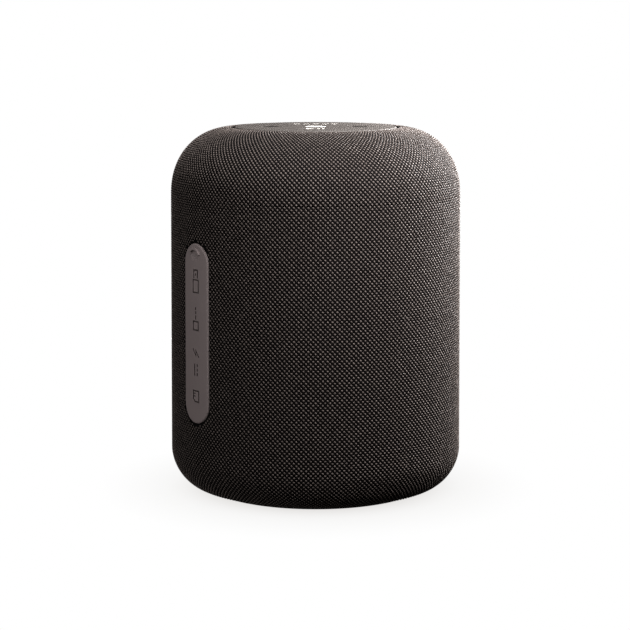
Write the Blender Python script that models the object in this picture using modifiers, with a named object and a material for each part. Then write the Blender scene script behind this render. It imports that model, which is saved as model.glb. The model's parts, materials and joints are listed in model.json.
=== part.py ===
"""Portable smart speaker: a cloth-covered drum with a control panel on top and a port cover on its side.

Metres, +Z up. The origin is the centre of the face that it stands on. The control marks read upright
from the front, which is -Y. The ports lie round the side, at PORT_ANGLE from +X.
"""

import math

import bmesh
import bpy
from mathutils import Matrix, Vector

# Overall sizes
BODY_DIAMETER = 0.100
TOTAL_HEIGHT = 0.126
PANEL_DIAMETER = 0.056
TOP_CORNER_HEIGHT = 0.023
TOP_CORNER_POWER = 2.15
BOTTOM_CORNER_HEIGHT = 0.013
BOTTOM_CORNER_POWER = 1.8
BASE_DIAMETER = 0.0802
FOOT_PROUD = 0.0012

# Walls and gaps
CLOTH_THICKNESS = 0.0010
SHELL_WALL = 0.0020
GAP = 0.0003
SEAT_GAP = 0.0002
LIP_WALL = 0.0017
LIP_HEIGHT = 0.0030

# Control panel and keys
PANEL_THICKNESS = 0.0020
PANEL_LEDGE = 0.0040
KEY_DIAMETER = 0.0092
KEY_REACH = 0.0152
POWER_KEY_DIAMETER = 0.0070
PLAY_KEY_REACH = 0.0128
KEY_FLANGE = 0.0008
KEY_FLANGE_THICKNESS = 0.0005
KEY_TRAVEL = 0.0004
STEM_DIAMETER = 0.0030
SWITCH_SIDE = 0.0034
SWITCH_HEIGHT = 0.0008
LIGHT_BAR_LENGTH = 0.0158
LIGHT_BAR_WIDTH = 0.0016
LIGHT_BAR_REACH = 0.0150
BOARD_THICKNESS = 0.0012
KEY_BOARD_DIAMETER = 0.053
DIFFUSER_DIAMETER = 0.047
DIFFUSER_DEPTH = 0.0155
DIFFUSER_RIM = 0.0012

# Sound chamber
CHAMBER_DIAMETER = 0.0664
CHAMBER_WALL = 0.0020
CHAMBER_FLOOR_Z = 0.034
BAFFLE_Z = 0.0883
BAFFLE_THICKNESS = 0.0027
LEG_DIAMETER = 0.0052
LEG_SET_IN = 0.0006
LEG_FOOT_GAP = 0.0002
EAR_DIAMETER = 0.0080
EAR_SPACE = 0.0032
POST_DIAMETER = 0.0062
POST_ROOT_GAP = 0.0002

# Driver, measured from its flange down
DRIVER_DIAMETER = 0.057
DRIVER_OPENING = 0.0512
FLANGE_THICKNESS = 0.0012
BASKET_DEPTH = 0.0116
BASKET_FLOOR_DIAMETER = 0.029
BASKET_SHEET = 0.0012
TOP_PLATE_THICKNESS = 0.0030
MAGNET_DIAMETER = 0.032
MAGNET_HEIGHT = 0.0063
YOKE_THICKNESS = 0.0028
POLE_DIAMETER = 0.0122
COIL_DIAMETER = 0.0146
COIL_WALL = 0.0008
COIL_GAP = 0.0004
COIL_HEIGHT = 0.0090
COIL_IMMERSION = 0.0035
CONE_DIAMETER = 0.0420
CONE_SHEET = 0.0006
ROLL_SHEET = 0.0005

# Passive radiator
PASSIVE_OPENING = 0.0410
PASSIVE_PLATE_DIAMETER = 0.0280
PASSIVE_FRAME_HEIGHT = 0.0028
PASSIVE_PLATE_THICKNESS = 0.0010

# Battery and main board
CELL_DIAMETER = 0.0185
CELL_LENGTH = 0.065
CELL_SPACING = 0.0188
TRAY_SHEET = 0.0012
MAIN_BOARD_WIDTH = 0.038
MAIN_BOARD_Z = 0.0270

# Ports: the cover's outline, its place, and the sockets' sizes as (height, width, depth)
PORT_ANGLE = 217.0
COVER_WIDTH = 0.0138
COVER_LENGTH = 0.0610
COVER_MIDDLE_Z = 0.0584
COVER_PROUD = 0.0002
COVER_PLATE = 0.0016
STRAP_WIDTH = 0.0052
STRAP_HEIGHT = 0.0012
STRAP_WALL = 0.0010
BEZEL_DEPTH = 0.0058
BEZEL_FLANGE = 0.0020
BEZEL_FLANGE_DEPTH = 0.0025
SOCKET_SET_BACK = 0.0004
USB_SIZE = (0.0132, 0.0057, 0.0134)
USB_Z = 0.0763
JACK_SIZE = (0.0064, 0.0054, 0.0076)
JACK_NOSE = (0.0058, 0.0057)
JACK_BORE = 0.0036
JACK_Z = 0.0636
CHARGE_SIZE = (0.0080, 0.0029, 0.0059)
CHARGE_Z = 0.0491
CARD_SIZE = (0.0124, 0.0019, 0.0139)
CARD_Z = 0.0373
SOCKET_WALL = 0.0003
SHELL_SIDE = 0.0004
PORT_BOARD_Y = -0.0037

# Foot and screws
FOOT_OUTER_DIAMETER = 0.0762
FOOT_INNER_DIAMETER = 0.0680
SCREW_SHANK = 0.0025
SCREW_HOLE = 0.0031
BASE_SCREW_HEAD = 0.0052
POST_SCREW_HEAD = 0.0048
SCREW_HEAD_HEIGHT = 0.0010
BASE_SCREW_LENGTH = 0.0117
POST_SCREW_LENGTH = 0.0120
LEAD_DIAMETER = 0.0016
LEAD_ANGLE = 25
LEAD_SET_IN = 0.0014
TUBE_SLOT_COLUMNS = 12
TUBE_SLOT_ROWS = 3
TUBE_SLOT = (0.0120, 0.0210)
TUBE_RIB = 0.0060
TOP_SLOTS = 9
TOP_SLOT = (0.0130, 0.0080)

# How finely round pieces are cut
BODY_STEPS = 40
ROUND_STEPS = 24
SMALL_STEPS = 12
CORNER_POINTS = 6
ROLL_POINTS = 5
PILL_POINTS = 12
MERGE = 0.00001

# Worked out from the sizes above
BODY_R = BODY_DIAMETER / 2
PANEL_R = PANEL_DIAMETER / 2
TOP_INNER_R = PANEL_R + GAP
TOP_SEAM_Z = TOTAL_HEIGHT - TOP_CORNER_HEIGHT
BASE_R = BASE_DIAMETER / 2
BOTTOM_INNER_R = BASE_R + GAP
BOTTOM_SEAM_Z = FOOT_PROUD + BOTTOM_CORNER_HEIGHT
SHELL_SET_IN = CLOTH_THICKNESS + GAP
SHELL_R = BODY_R - SHELL_SET_IN
LIP_R = SHELL_R - SHELL_WALL - GAP
LIP_INNER_R = LIP_R - LIP_WALL
PANEL_Z = TOTAL_HEIGHT - PANEL_THICKNESS
LEDGE_Z = PANEL_Z - GAP
DECK_Z = LEDGE_Z - SHELL_WALL
DECK_R = PANEL_R - PANEL_LEDGE
KEY_BOARD_TOP = DECK_Z - GAP
KEY_FLANGE_Z = PANEL_Z - GAP - KEY_FLANGE_THICKNESS
SWITCH_Z = KEY_BOARD_TOP + SEAT_GAP
STEM_Z = SWITCH_Z + SWITCH_HEIGHT + KEY_TRAVEL + SEAT_GAP / 2
DIFFUSER_Z = KEY_BOARD_TOP - BOARD_THICKNESS - GAP
FLOOR_Z = FOOT_PROUD + SHELL_SET_IN
FLOOR_TOP = FLOOR_Z + SHELL_WALL
CHAMBER_R = CHAMBER_DIAMETER / 2
BAFFLE_TOP = BAFFLE_Z + BAFFLE_THICKNESS
FLANGE_Z = BAFFLE_TOP + GAP
FLANGE_TOP = FLANGE_Z + FLANGE_THICKNESS
BASKET_FLOOR_Z = FLANGE_Z - BASKET_DEPTH
TOP_PLATE_Z = BASKET_FLOOR_Z - SEAT_GAP - TOP_PLATE_THICKNESS
MAGNET_Z = TOP_PLATE_Z - SEAT_GAP - MAGNET_HEIGHT
YOKE_Z = MAGNET_Z - SEAT_GAP - YOKE_THICKNESS
COIL_R = COIL_DIAMETER / 2
COIL_Z = TOP_PLATE_Z + TOP_PLATE_THICKNESS - COIL_IMMERSION
COIL_TOP = COIL_Z + COIL_HEIGHT
PASSIVE_Z = CHAMBER_FLOOR_Z - SEAT_GAP - PASSIVE_FRAME_HEIGHT
PASSIVE_PLATE_Z = PASSIVE_Z + PASSIVE_FRAME_HEIGHT / 4
CELL_Z = FLOOR_TOP + GAP + TRAY_SHEET + SEAT_GAP + CELL_DIAMETER / 2
TRAY_HALF = CELL_LENGTH / 2 + 2 * SEAT_GAP
MAIN_BOARD_LENGTH = 2 * (TRAY_HALF + TRAY_SHEET)
MAIN_BOARD_TOP = MAIN_BOARD_Z + BOARD_THICKNESS
COVER_R = BODY_R + COVER_PROUD
COVER_BACK_X = COVER_R - COVER_PLATE
BEZEL_FACE_X = COVER_BACK_X - GAP
BEZEL_BACK_X = BEZEL_FACE_X - BEZEL_DEPTH
SOCKET_FACE_X = BEZEL_FACE_X - SOCKET_SET_BACK
WINDOW_WIDTH = COVER_WIDTH + 2 * GAP
WINDOW_LENGTH = COVER_LENGTH + 2 * GAP
HINGE_Z = COVER_MIDDLE_Z - COVER_LENGTH / 2 - GAP
EAR_REACH = LIP_INNER_R - EAR_DIAMETER / 2 - EAR_SPACE
EAR_ANGLES = [PORT_ANGLE + 60, PORT_ANGLE + 180, PORT_ANGLE + 300]
LEG_REACH = CHAMBER_R - LEG_DIAMETER / 2 - LEG_SET_IN
LEG_Y = MAIN_BOARD_WIDTH / 2 + LEG_DIAMETER / 2 + 4 * GAP
LEG_ANGLE = math.degrees(math.asin(LEG_Y / LEG_REACH))
LEG_ANGLES = [LEG_ANGLE, 180 - LEG_ANGLE, 180 + LEG_ANGLE, 360 - LEG_ANGLE]
PASSIVE_FRAME_R = LEG_REACH - LEG_DIAMETER / 2 - GAP
LEAD_REACH = CHAMBER_R - CHAMBER_WALL - LEAD_DIAMETER / 2 - LEAD_SET_IN

# Finish: colour, roughness, metallic
FINISHES = {
    "speaker_cloth": ((0.045, 0.038, 0.036), 0.9, 0.0),
    "taupe_plastic": ((0.200, 0.170, 0.155), 0.45, 0.0),
    "taupe_rubber": ((0.095, 0.078, 0.075), 0.6, 0.0),
    "white_lens": ((0.85, 0.83, 0.80), 0.4, 0.0),
    "black_plastic": ((0.02, 0.02, 0.02), 0.5, 0.0),
    "black_rubber": ((0.015, 0.015, 0.015), 0.8, 0.0),
    "circuit_board": ((0.02, 0.10, 0.05), 0.5, 0.0),
    "plated_steel": ((0.55, 0.55, 0.56), 0.3, 1.0),
    "ferrite": ((0.05, 0.05, 0.055), 0.6, 0.0),
    "copper": ((0.70, 0.35, 0.20), 0.35, 1.0),
    "cone_paper": ((0.03, 0.03, 0.03), 0.9, 0.0),
    "cell_wrap": ((0.05, 0.15, 0.40), 0.4, 0.0),
    "wire_jacket": ((0.05, 0.05, 0.05), 0.5, 0.0),
}


def clear_scene():
    for obj in list(bpy.data.objects):
        bpy.data.objects.remove(obj)


def collection(name, hidden=False):
    made = bpy.data.collections.new(name)
    bpy.context.scene.collection.children.link(made)
    made.hide_render = hidden
    return made


def material(name):
    found = bpy.data.materials.get(name)
    if found:
        return found
    colour, roughness, metallic = FINISHES[name]
    made = bpy.data.materials.new(name)
    made.use_nodes = True
    shader = made.node_tree.nodes["Principled BSDF"]
    shader.inputs["Base Color"].default_value = (*colour, 1)
    shader.inputs["Roughness"].default_value = roughness
    shader.inputs["Metallic"].default_value = metallic
    return made


def place(obj, finish=None, parent=None):
    """Puts an object with the parts, or with the cutters when it has no finish."""
    for home in list(obj.users_collection):
        home.objects.unlink(obj)
    (PARTS if finish else CUTTERS).objects.link(obj)
    if finish:
        obj.data.materials.clear()
        obj.data.materials.append(material(finish))
    else:
        obj.hide_render = True
        obj.display_type = "WIRE"
    obj.parent = parent
    return obj


def turned(name, profile, finish=None, steps=ROUND_STEPS, parent=None, at=(0, 0, 0)):
    """A turned solid. The profile's (radius, height) points run down the outer side, then back up inside."""
    mesh = bpy.data.meshes.new(name)
    count = len(profile)
    ring = profile[0][0] > MERGE or profile[-1][0] > MERGE
    edges = [(i, (i + 1) % count) for i in range(count if ring else count - 1)]
    mesh.from_pydata([(r, 0, z) for r, z in profile], edges, [])
    obj = place(bpy.data.objects.new(name, mesh), finish, parent)
    obj.location = at
    screw = obj.modifiers.new("turn", "SCREW")
    screw.axis = "Z"
    screw.angle = math.tau
    screw.steps = steps
    screw.render_steps = steps
    screw.use_merge_vertices = True
    screw.merge_threshold = MERGE
    screw.use_smooth_shade = True
    return obj


def ring(name, outer, inner, low, high, finish=None, steps=ROUND_STEPS, at=(0, 0, 0)):
    profile = [(outer, high), (outer, low), (inner, low), (inner, high)]
    return turned(name, profile, finish, steps, at=at)


def disc(name, radius, low, high, finish=None, steps=ROUND_STEPS, at=(0, 0, 0)):
    profile = [(0, high), (radius, high), (radius, low), (0, low)]
    return turned(name, profile, finish, steps, at=at)


def box(name, size, centre, finish=None, parent=None, turn=0.0, tilt=0.0):
    bpy.ops.mesh.primitive_cube_add(size=1)
    obj = bpy.context.object
    obj.name = name
    obj.data.name = name
    obj.data.transform(Matrix.Diagonal((*size, 1)))
    place(obj, finish, parent)
    obj.location = centre
    obj.rotation_euler = (0, tilt, turn)
    return obj


def rod(name, radius, start, end, finish=None, parent=None, steps=SMALL_STEPS):
    """A cylinder from one point to another."""
    start, end = Vector(start), Vector(end)
    bpy.ops.mesh.primitive_cylinder_add(vertices=steps, radius=radius, depth=(end - start).length)
    obj = bpy.context.object
    obj.name = name
    obj.data.name = name
    place(obj, finish, parent)
    obj.location = (start + end) / 2
    obj.rotation_mode = "QUATERNION"
    obj.rotation_quaternion = (end - start).to_track_quat("Z", "Y")
    return obj


def combine(obj, other, operation):
    change = obj.modifiers.new(other.name, "BOOLEAN")
    change.operation = operation
    change.object = other
    return obj


def cut(obj, *cutters):
    for cutter in cutters:
        combine(obj, cutter, "DIFFERENCE")
    return obj


def join(obj, *others):
    for other in others:
        combine(obj, other, "UNION")
    return obj


def bevel(obj, width, segments=2, angle=40):
    edge = obj.modifiers.new("edge", "BEVEL")
    edge.width = width
    edge.segments = segments
    edge.limit_method = "ANGLE"
    edge.angle_limit = math.radians(angle)
    return obj


def as_mesh(curve_obj, finish=None, parent=None):
    """A curve object made a closed mesh, so that Booleans and the Bevel modifier can use it."""
    bpy.context.view_layer.update()
    graph = bpy.context.evaluated_depsgraph_get()
    mesh = bpy.data.meshes.new_from_object(curve_obj.evaluated_get(graph))
    welded = bmesh.new()
    welded.from_mesh(mesh)
    bmesh.ops.remove_doubles(welded, verts=welded.verts, dist=MERGE)
    welded.to_mesh(mesh)
    welded.free()
    name = curve_obj.name
    local = curve_obj.matrix_basis.copy()
    bpy.data.objects.remove(curve_obj)
    obj = place(bpy.data.objects.new(name, mesh), finish, parent)
    obj.matrix_basis = local
    return obj


def pill(name, width, length, back, front, middle_z, finish=None, parent=None, at=(0, 0, 0)):
    """A slab with round ends, standing along Z and facing +X, from x = back to x = front."""
    curve = bpy.data.curves.new(name, "CURVE")
    curve.dimensions = "2D"
    curve.fill_mode = "BOTH"
    curve.extrude = (front - back) / 2
    radius = width / 2
    half = length / 2 - radius
    arc = [math.pi * i / PILL_POINTS for i in range(PILL_POINTS + 1)]
    outline = [(radius * math.cos(a), half + radius * math.sin(a)) for a in arc]
    outline += [(-y, -z) for y, z in outline]
    spline = curve.splines.new("POLY")
    spline.points.add(len(outline) - 1)
    for point, (y, z) in zip(spline.points, outline):
        point.co = (y, z, 0, 1)
    spline.use_cyclic_u = True
    obj = bpy.data.objects.new(name, curve)
    CUTTERS.objects.link(obj)
    obj.rotation_euler = (math.pi / 2, 0, math.pi / 2)
    obj.location = Vector(((back + front) / 2, 0, middle_z)) - Vector(at)
    return as_mesh(obj, finish, parent)


def lead(name, points, diameter, finish):
    """A wire through the given points, rounded between them."""
    samples = []
    for i in range(len(points) - 1):
        before = Vector(points[max(i - 1, 0)])
        start, end = Vector(points[i]), Vector(points[i + 1])
        after = Vector(points[min(i + 2, len(points) - 1)])
        for t in (0.0, 0.5):
            samples.append(
                0.5 * ((2 * start) + (end - before) * t + (2 * before - 5 * start + 4 * end - after) * t**2
                       + (3 * start - before - 3 * end + after) * t**3)
            )
    samples.append(Vector(points[-1]))
    curve = bpy.data.curves.new(name, "CURVE")
    curve.dimensions = "3D"
    curve.bevel_depth = diameter / 2
    curve.bevel_resolution = 2
    curve.use_fill_caps = True
    spline = curve.splines.new("POLY")
    spline.points.add(len(samples) - 1)
    for point, sample in zip(spline.points, samples):
        point.co = (*sample, 1)
    obj = bpy.data.objects.new(name, curve)
    return place(obj, finish)


def corner(centre_r, centre_z, reach_r, reach_z, power, points=CORNER_POINTS):
    """A rounded corner, from straight above (or, with a negative reach_z, below) its centre to level with it."""
    turn = [math.pi / 2 * i / points for i in range(points + 1)]
    return [
        (centre_r + reach_r * math.sin(a) ** (2 / power), centre_z + reach_z * max(math.cos(a), 0) ** (2 / power))
        for a in turn
    ]


def top_corner(set_in):
    reach = BODY_R - TOP_INNER_R - set_in
    return corner(TOP_INNER_R, TOP_SEAM_Z, reach, TOP_CORNER_HEIGHT - set_in, TOP_CORNER_POWER)


def corner_height(radius, set_in):
    """How high the top corner's line, set in from its outside, is at a given radius."""
    reach = BODY_R - TOP_INNER_R - set_in
    share = (radius - TOP_INNER_R) / reach
    rise = (1 - share**TOP_CORNER_POWER) ** (1 / TOP_CORNER_POWER)
    return TOP_SEAM_Z + (TOP_CORNER_HEIGHT - set_in) * rise


def bottom_corner(set_in):
    reach = BODY_R - BOTTOM_INNER_R - set_in
    return corner(BOTTOM_INNER_R, BOTTOM_SEAM_Z, reach, set_in - BOTTOM_CORNER_HEIGHT, BOTTOM_CORNER_POWER)


def polar(radius, degrees, z=0.0):
    angle = math.radians(degrees)
    return Vector((radius * math.cos(angle), radius * math.sin(angle), z))


def port_point(x, y, z):
    """A place given outwards, sideways and upwards from the port's own frame."""
    return Matrix.Rotation(math.radians(PORT_ANGLE), 4, "Z") @ Vector((x, y, z))


def port_window(name):
    return pill(name, WINDOW_WIDTH, WINDOW_LENGTH, LIP_INNER_R, BODY_R + GAP, COVER_MIDDLE_Z, parent=PORT)


# Covers


def cloths():
    top = top_corner(0)[:-1] + [(BODY_R, TOP_SEAM_Z + GAP / 2)]
    inner = top_corner(CLOTH_THICKNESS)[:-1] + [(BODY_R - CLOTH_THICKNESS, TOP_SEAM_Z + GAP / 2)]
    turned("top_cloth", top + inner[::-1], "speaker_cloth", BODY_STEPS)

    body = ring("body_cloth", BODY_R, BODY_R - CLOTH_THICKNESS, BOTTOM_SEAM_Z + GAP / 2,
                TOP_SEAM_Z - GAP / 2, "speaker_cloth", BODY_STEPS)
    cut(body, port_window("body_cloth_window"))

    outer = bottom_corner(0)[:-1] + [(BODY_R, BOTTOM_SEAM_Z - GAP / 2)]
    inner = bottom_corner(CLOTH_THICKNESS)[:-1] + [(BODY_R - CLOTH_THICKNESS, BOTTOM_SEAM_Z - GAP / 2)]
    turned("bottom_cloth", outer[::-1] + inner, "speaker_cloth", BODY_STEPS)


def top_shell():
    outer = top_corner(SHELL_SET_IN)
    inner = [p for p in top_corner(SHELL_SET_IN + SHELL_WALL) if p[0] < LIP_INNER_R]
    lip = [(LIP_R, TOP_SEAM_Z), (LIP_R, TOP_SEAM_Z - LIP_HEIGHT), (LIP_INNER_R, TOP_SEAM_Z - LIP_HEIGHT)]
    deck = [(TOP_INNER_R, DECK_Z), (DECK_R, DECK_Z), (DECK_R, LEDGE_Z), (TOP_INNER_R, LEDGE_Z)]
    shell = turned("top_shell", outer + lip + inner[::-1] + deck, "black_plastic", BODY_STEPS)
    slot_size = (*TOP_SLOT, SHELL_WALL * 4)
    shoulder_r, shoulder_z = outer[len(outer) // 2]
    for i in range(TOP_SLOTS):
        angle = PORT_ANGLE + 360 / TOP_SLOTS * i
        where = polar(shoulder_r - SHELL_WALL / 2, angle, shoulder_z - SHELL_WALL / 2)
        cut(shell, box(f"top_slot_{i + 1}", slot_size, where, turn=math.radians(angle), tilt=math.pi / 4))
    post_top = corner_height(EAR_REACH + POST_DIAMETER / 2, SHELL_SET_IN) - POST_ROOT_GAP
    for i, angle in enumerate(EAR_ANGLES, 1):
        low, high = polar(EAR_REACH, angle, BAFFLE_TOP + GAP), polar(EAR_REACH, angle, post_top)
        join(shell, rod(f"top_post_{i}", POST_DIAMETER / 2, low, high))
    for i, angle in enumerate(EAR_ANGLES, 1):
        low = polar(EAR_REACH, angle, BAFFLE_Z)
        high = polar(EAR_REACH, angle, BAFFLE_TOP + POST_SCREW_LENGTH)
        cut(shell, rod(f"top_post_hole_{i}", SCREW_HOLE / 2, low, high))


def grille_tube():
    tube = ring("grille_tube", SHELL_R, SHELL_R - SHELL_WALL, BOTTOM_SEAM_Z + GAP / 2,
                TOP_SEAM_Z - GAP / 2, "black_plastic", BODY_STEPS)
    slot_width, slot_height = TUBE_SLOT
    middle = (TOP_SEAM_Z + BOTTOM_SEAM_Z) / 2
    for column in range(1, TUBE_SLOT_COLUMNS):
        angle = PORT_ANGLE + 360 / TUBE_SLOT_COLUMNS * column
        for row in range(TUBE_SLOT_ROWS):
            z = middle + (row - (TUBE_SLOT_ROWS - 1) / 2) * (slot_height + TUBE_RIB)
            name = f"tube_slot_{column}_{row + 1}"
            size = (SHELL_WALL * 4, slot_width, slot_height)
            cut(tube, box(name, size, polar(SHELL_R, angle, z), turn=math.radians(angle)))
    cut(tube, port_window("tube_window"))


def bottom_cap():
    outer = bottom_corner(SHELL_SET_IN)
    inner = [p for p in bottom_corner(SHELL_SET_IN + SHELL_WALL) if p[0] < LIP_INNER_R]
    lip_top = BOTTOM_SEAM_Z + LIP_HEIGHT
    lip = [(LIP_INNER_R, lip_top), (LIP_R, lip_top), (LIP_R, BOTTOM_SEAM_Z)]
    profile = outer[::-1] + [(0, FLOOR_Z), (0, FLOOR_TOP)] + inner + lip
    cap = turned("bottom_cap", profile, "black_plastic", BODY_STEPS)
    for i, angle in enumerate(LEG_ANGLES, 1):
        low, high = polar(LEG_REACH, angle, 0), polar(LEG_REACH, angle, FLOOR_TOP + GAP)
        cut(cap, rod(f"cap_hole_{i}", SCREW_HOLE / 2, low, high))


def base_plate():
    plate = disc("base_plate", BASE_R, FOOT_PROUD, FLOOR_Z - GAP, "black_plastic", BODY_STEPS)
    for i, angle in enumerate(LEG_ANGLES, 1):
        low, high = polar(LEG_REACH, angle, 0), polar(LEG_REACH, angle, FLOOR_Z)
        cut(plate, rod(f"plate_hole_{i}", BASE_SCREW_HEAD / 2 + GAP, low, high))
    ring("foot_ring", FOOT_OUTER_DIAMETER / 2 - GAP, FOOT_INNER_DIAMETER / 2, 0, FOOT_PROUD - SEAT_GAP,
         "black_rubber", BODY_STEPS)


# Control panel


def key_places():
    return {
        "power": ((0, 0), POWER_KEY_DIAMETER, "white_lens"),
        "plus": ((-KEY_REACH, 0), KEY_DIAMETER, "taupe_plastic"),
        "minus": ((KEY_REACH, 0), KEY_DIAMETER, "taupe_plastic"),
        "play": ((0, -PLAY_KEY_REACH), KEY_DIAMETER, "taupe_plastic"),
    }


def control_panel():
    profile = [(0, TOTAL_HEIGHT), (PANEL_R - GAP, TOTAL_HEIGHT), (PANEL_R, TOTAL_HEIGHT - GAP),
               (PANEL_R, PANEL_Z), (0, PANEL_Z)]
    panel = turned("control_panel", profile, "taupe_plastic", BODY_STEPS)
    below, above = PANEL_Z - GAP, TOTAL_HEIGHT + GAP
    for name, ((x, y), diameter, finish) in key_places().items():
        cut(panel, rod(f"{name}_opening", diameter / 2 + GAP, (x, y, below), (x, y, above), steps=ROUND_STEPS))
        flange = diameter / 2 + KEY_FLANGE
        flange_top = KEY_FLANGE_Z + KEY_FLANGE_THICKNESS
        key = [(0, TOTAL_HEIGHT), (diameter / 2, TOTAL_HEIGHT), (diameter / 2, flange_top), (flange, flange_top),
               (flange, KEY_FLANGE_Z), (STEM_DIAMETER / 2, KEY_FLANGE_Z), (STEM_DIAMETER / 2, STEM_Z), (0, STEM_Z)]
        hub = bpy.data.objects.new(f"{name}_key_slide", None)
        PARTS.objects.link(hub)
        hub.location = (x, y, TOTAL_HEIGHT)
        turned(f"{name}_key", [(r, z - TOTAL_HEIGHT) for r, z in key], finish, ROUND_STEPS, parent=hub)
        box(f"{name}_switch", (SWITCH_SIDE, SWITCH_SIDE, SWITCH_HEIGHT),
            (x, y, SWITCH_Z + SWITCH_HEIGHT / 2), "plated_steel")

    bar_size = (LIGHT_BAR_LENGTH, LIGHT_BAR_WIDTH, PANEL_THICKNESS)
    middle = (0, LIGHT_BAR_REACH, PANEL_Z + PANEL_THICKNESS / 2)
    bevel(box("light_bar", bar_size, middle, "white_lens"), GAP, 1)
    slot = (LIGHT_BAR_LENGTH + 2 * GAP, LIGHT_BAR_WIDTH + 2 * GAP, PANEL_THICKNESS + 2 * GAP)
    cut(panel, box("light_bar_opening", slot, middle))
    led_height = SWITCH_HEIGHT
    box("light_bar_leds", (LIGHT_BAR_LENGTH, LIGHT_BAR_WIDTH, led_height),
        (0, LIGHT_BAR_REACH, SWITCH_Z + led_height / 2), "white_lens")

    disc("key_board", KEY_BOARD_DIAMETER / 2, KEY_BOARD_TOP - BOARD_THICKNESS, KEY_BOARD_TOP, "circuit_board")
    radius = DIFFUSER_DIAMETER / 2
    waist = [(radius * (1 - t) ** 1.6, DIFFUSER_Z - DIFFUSER_RIM - (DIFFUSER_DEPTH - DIFFUSER_RIM) * t ** 0.9)
             for t in (0.15, 0.35, 0.6, 0.85)]
    profile = [(0, DIFFUSER_Z), (radius, DIFFUSER_Z), (radius, DIFFUSER_Z - DIFFUSER_RIM)]
    turned("diffuser", profile + waist + [(0, DIFFUSER_Z - DIFFUSER_DEPTH)], "black_plastic")


# Sound chamber


def chamber():
    inner = CHAMBER_R - CHAMBER_WALL
    floor_top = CHAMBER_FLOOR_Z + CHAMBER_WALL
    opening = PASSIVE_OPENING / 2 + GAP
    top = BAFFLE_Z - SEAT_GAP
    profile = [(CHAMBER_R, top), (CHAMBER_R, CHAMBER_FLOOR_Z), (opening, CHAMBER_FLOOR_Z), (opening, floor_top),
               (inner, floor_top), (inner, top)]
    cup = turned("chamber_cup", profile, "black_plastic", ROUND_STEPS)
    for i, angle in enumerate(LEG_ANGLES, 1):
        low = polar(LEG_REACH, angle, FLOOR_TOP + LEG_FOOT_GAP)
        join(cup, rod(f"leg_{i}", LEG_DIAMETER / 2, low, polar(LEG_REACH, angle, floor_top - GAP)))
    for i, angle in enumerate(LEG_ANGLES, 1):
        low, high = polar(LEG_REACH, angle, FLOOR_Z), polar(LEG_REACH, angle, FLOOR_Z + BASE_SCREW_LENGTH + GAP)
        cut(cup, rod(f"leg_hole_{i}", SCREW_HOLE / 2, low, high))
    pass_through = [polar(LEAD_REACH, LEAD_ANGLE, z) for z in (CHAMBER_FLOOR_Z - GAP, floor_top + GAP)]
    cut(cup, rod("lead_hole", LEAD_DIAMETER / 2 + GAP, *pass_through))

    plate = ring("baffle_plate", CHAMBER_R, DRIVER_OPENING / 2 + GAP, BAFFLE_Z, BAFFLE_TOP, "black_plastic")
    for i, angle in enumerate(EAR_ANGLES, 1):
        root = (CHAMBER_R + DRIVER_OPENING / 2) / 2
        middle = polar((root + EAR_REACH) / 2, angle, BAFFLE_Z + BAFFLE_THICKNESS / 2)
        arm = (EAR_REACH - root, EAR_DIAMETER * 0.9, BAFFLE_THICKNESS * 0.9)
        join(plate, box(f"ear_arm_{i}", arm, middle, turn=math.radians(angle)))
        low, high = polar(EAR_REACH, angle, BAFFLE_Z), polar(EAR_REACH, angle, BAFFLE_TOP)
        join(plate, rod(f"ear_{i}", EAR_DIAMETER / 2, low, high, steps=ROUND_STEPS))
    for i, angle in enumerate(EAR_ANGLES, 1):
        low, high = polar(EAR_REACH, angle, BAFFLE_Z - GAP), polar(EAR_REACH, angle, BAFFLE_TOP + GAP)
        cut(plate, rod(f"ear_hole_{i}", SCREW_HOLE / 2, low, high))


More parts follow.
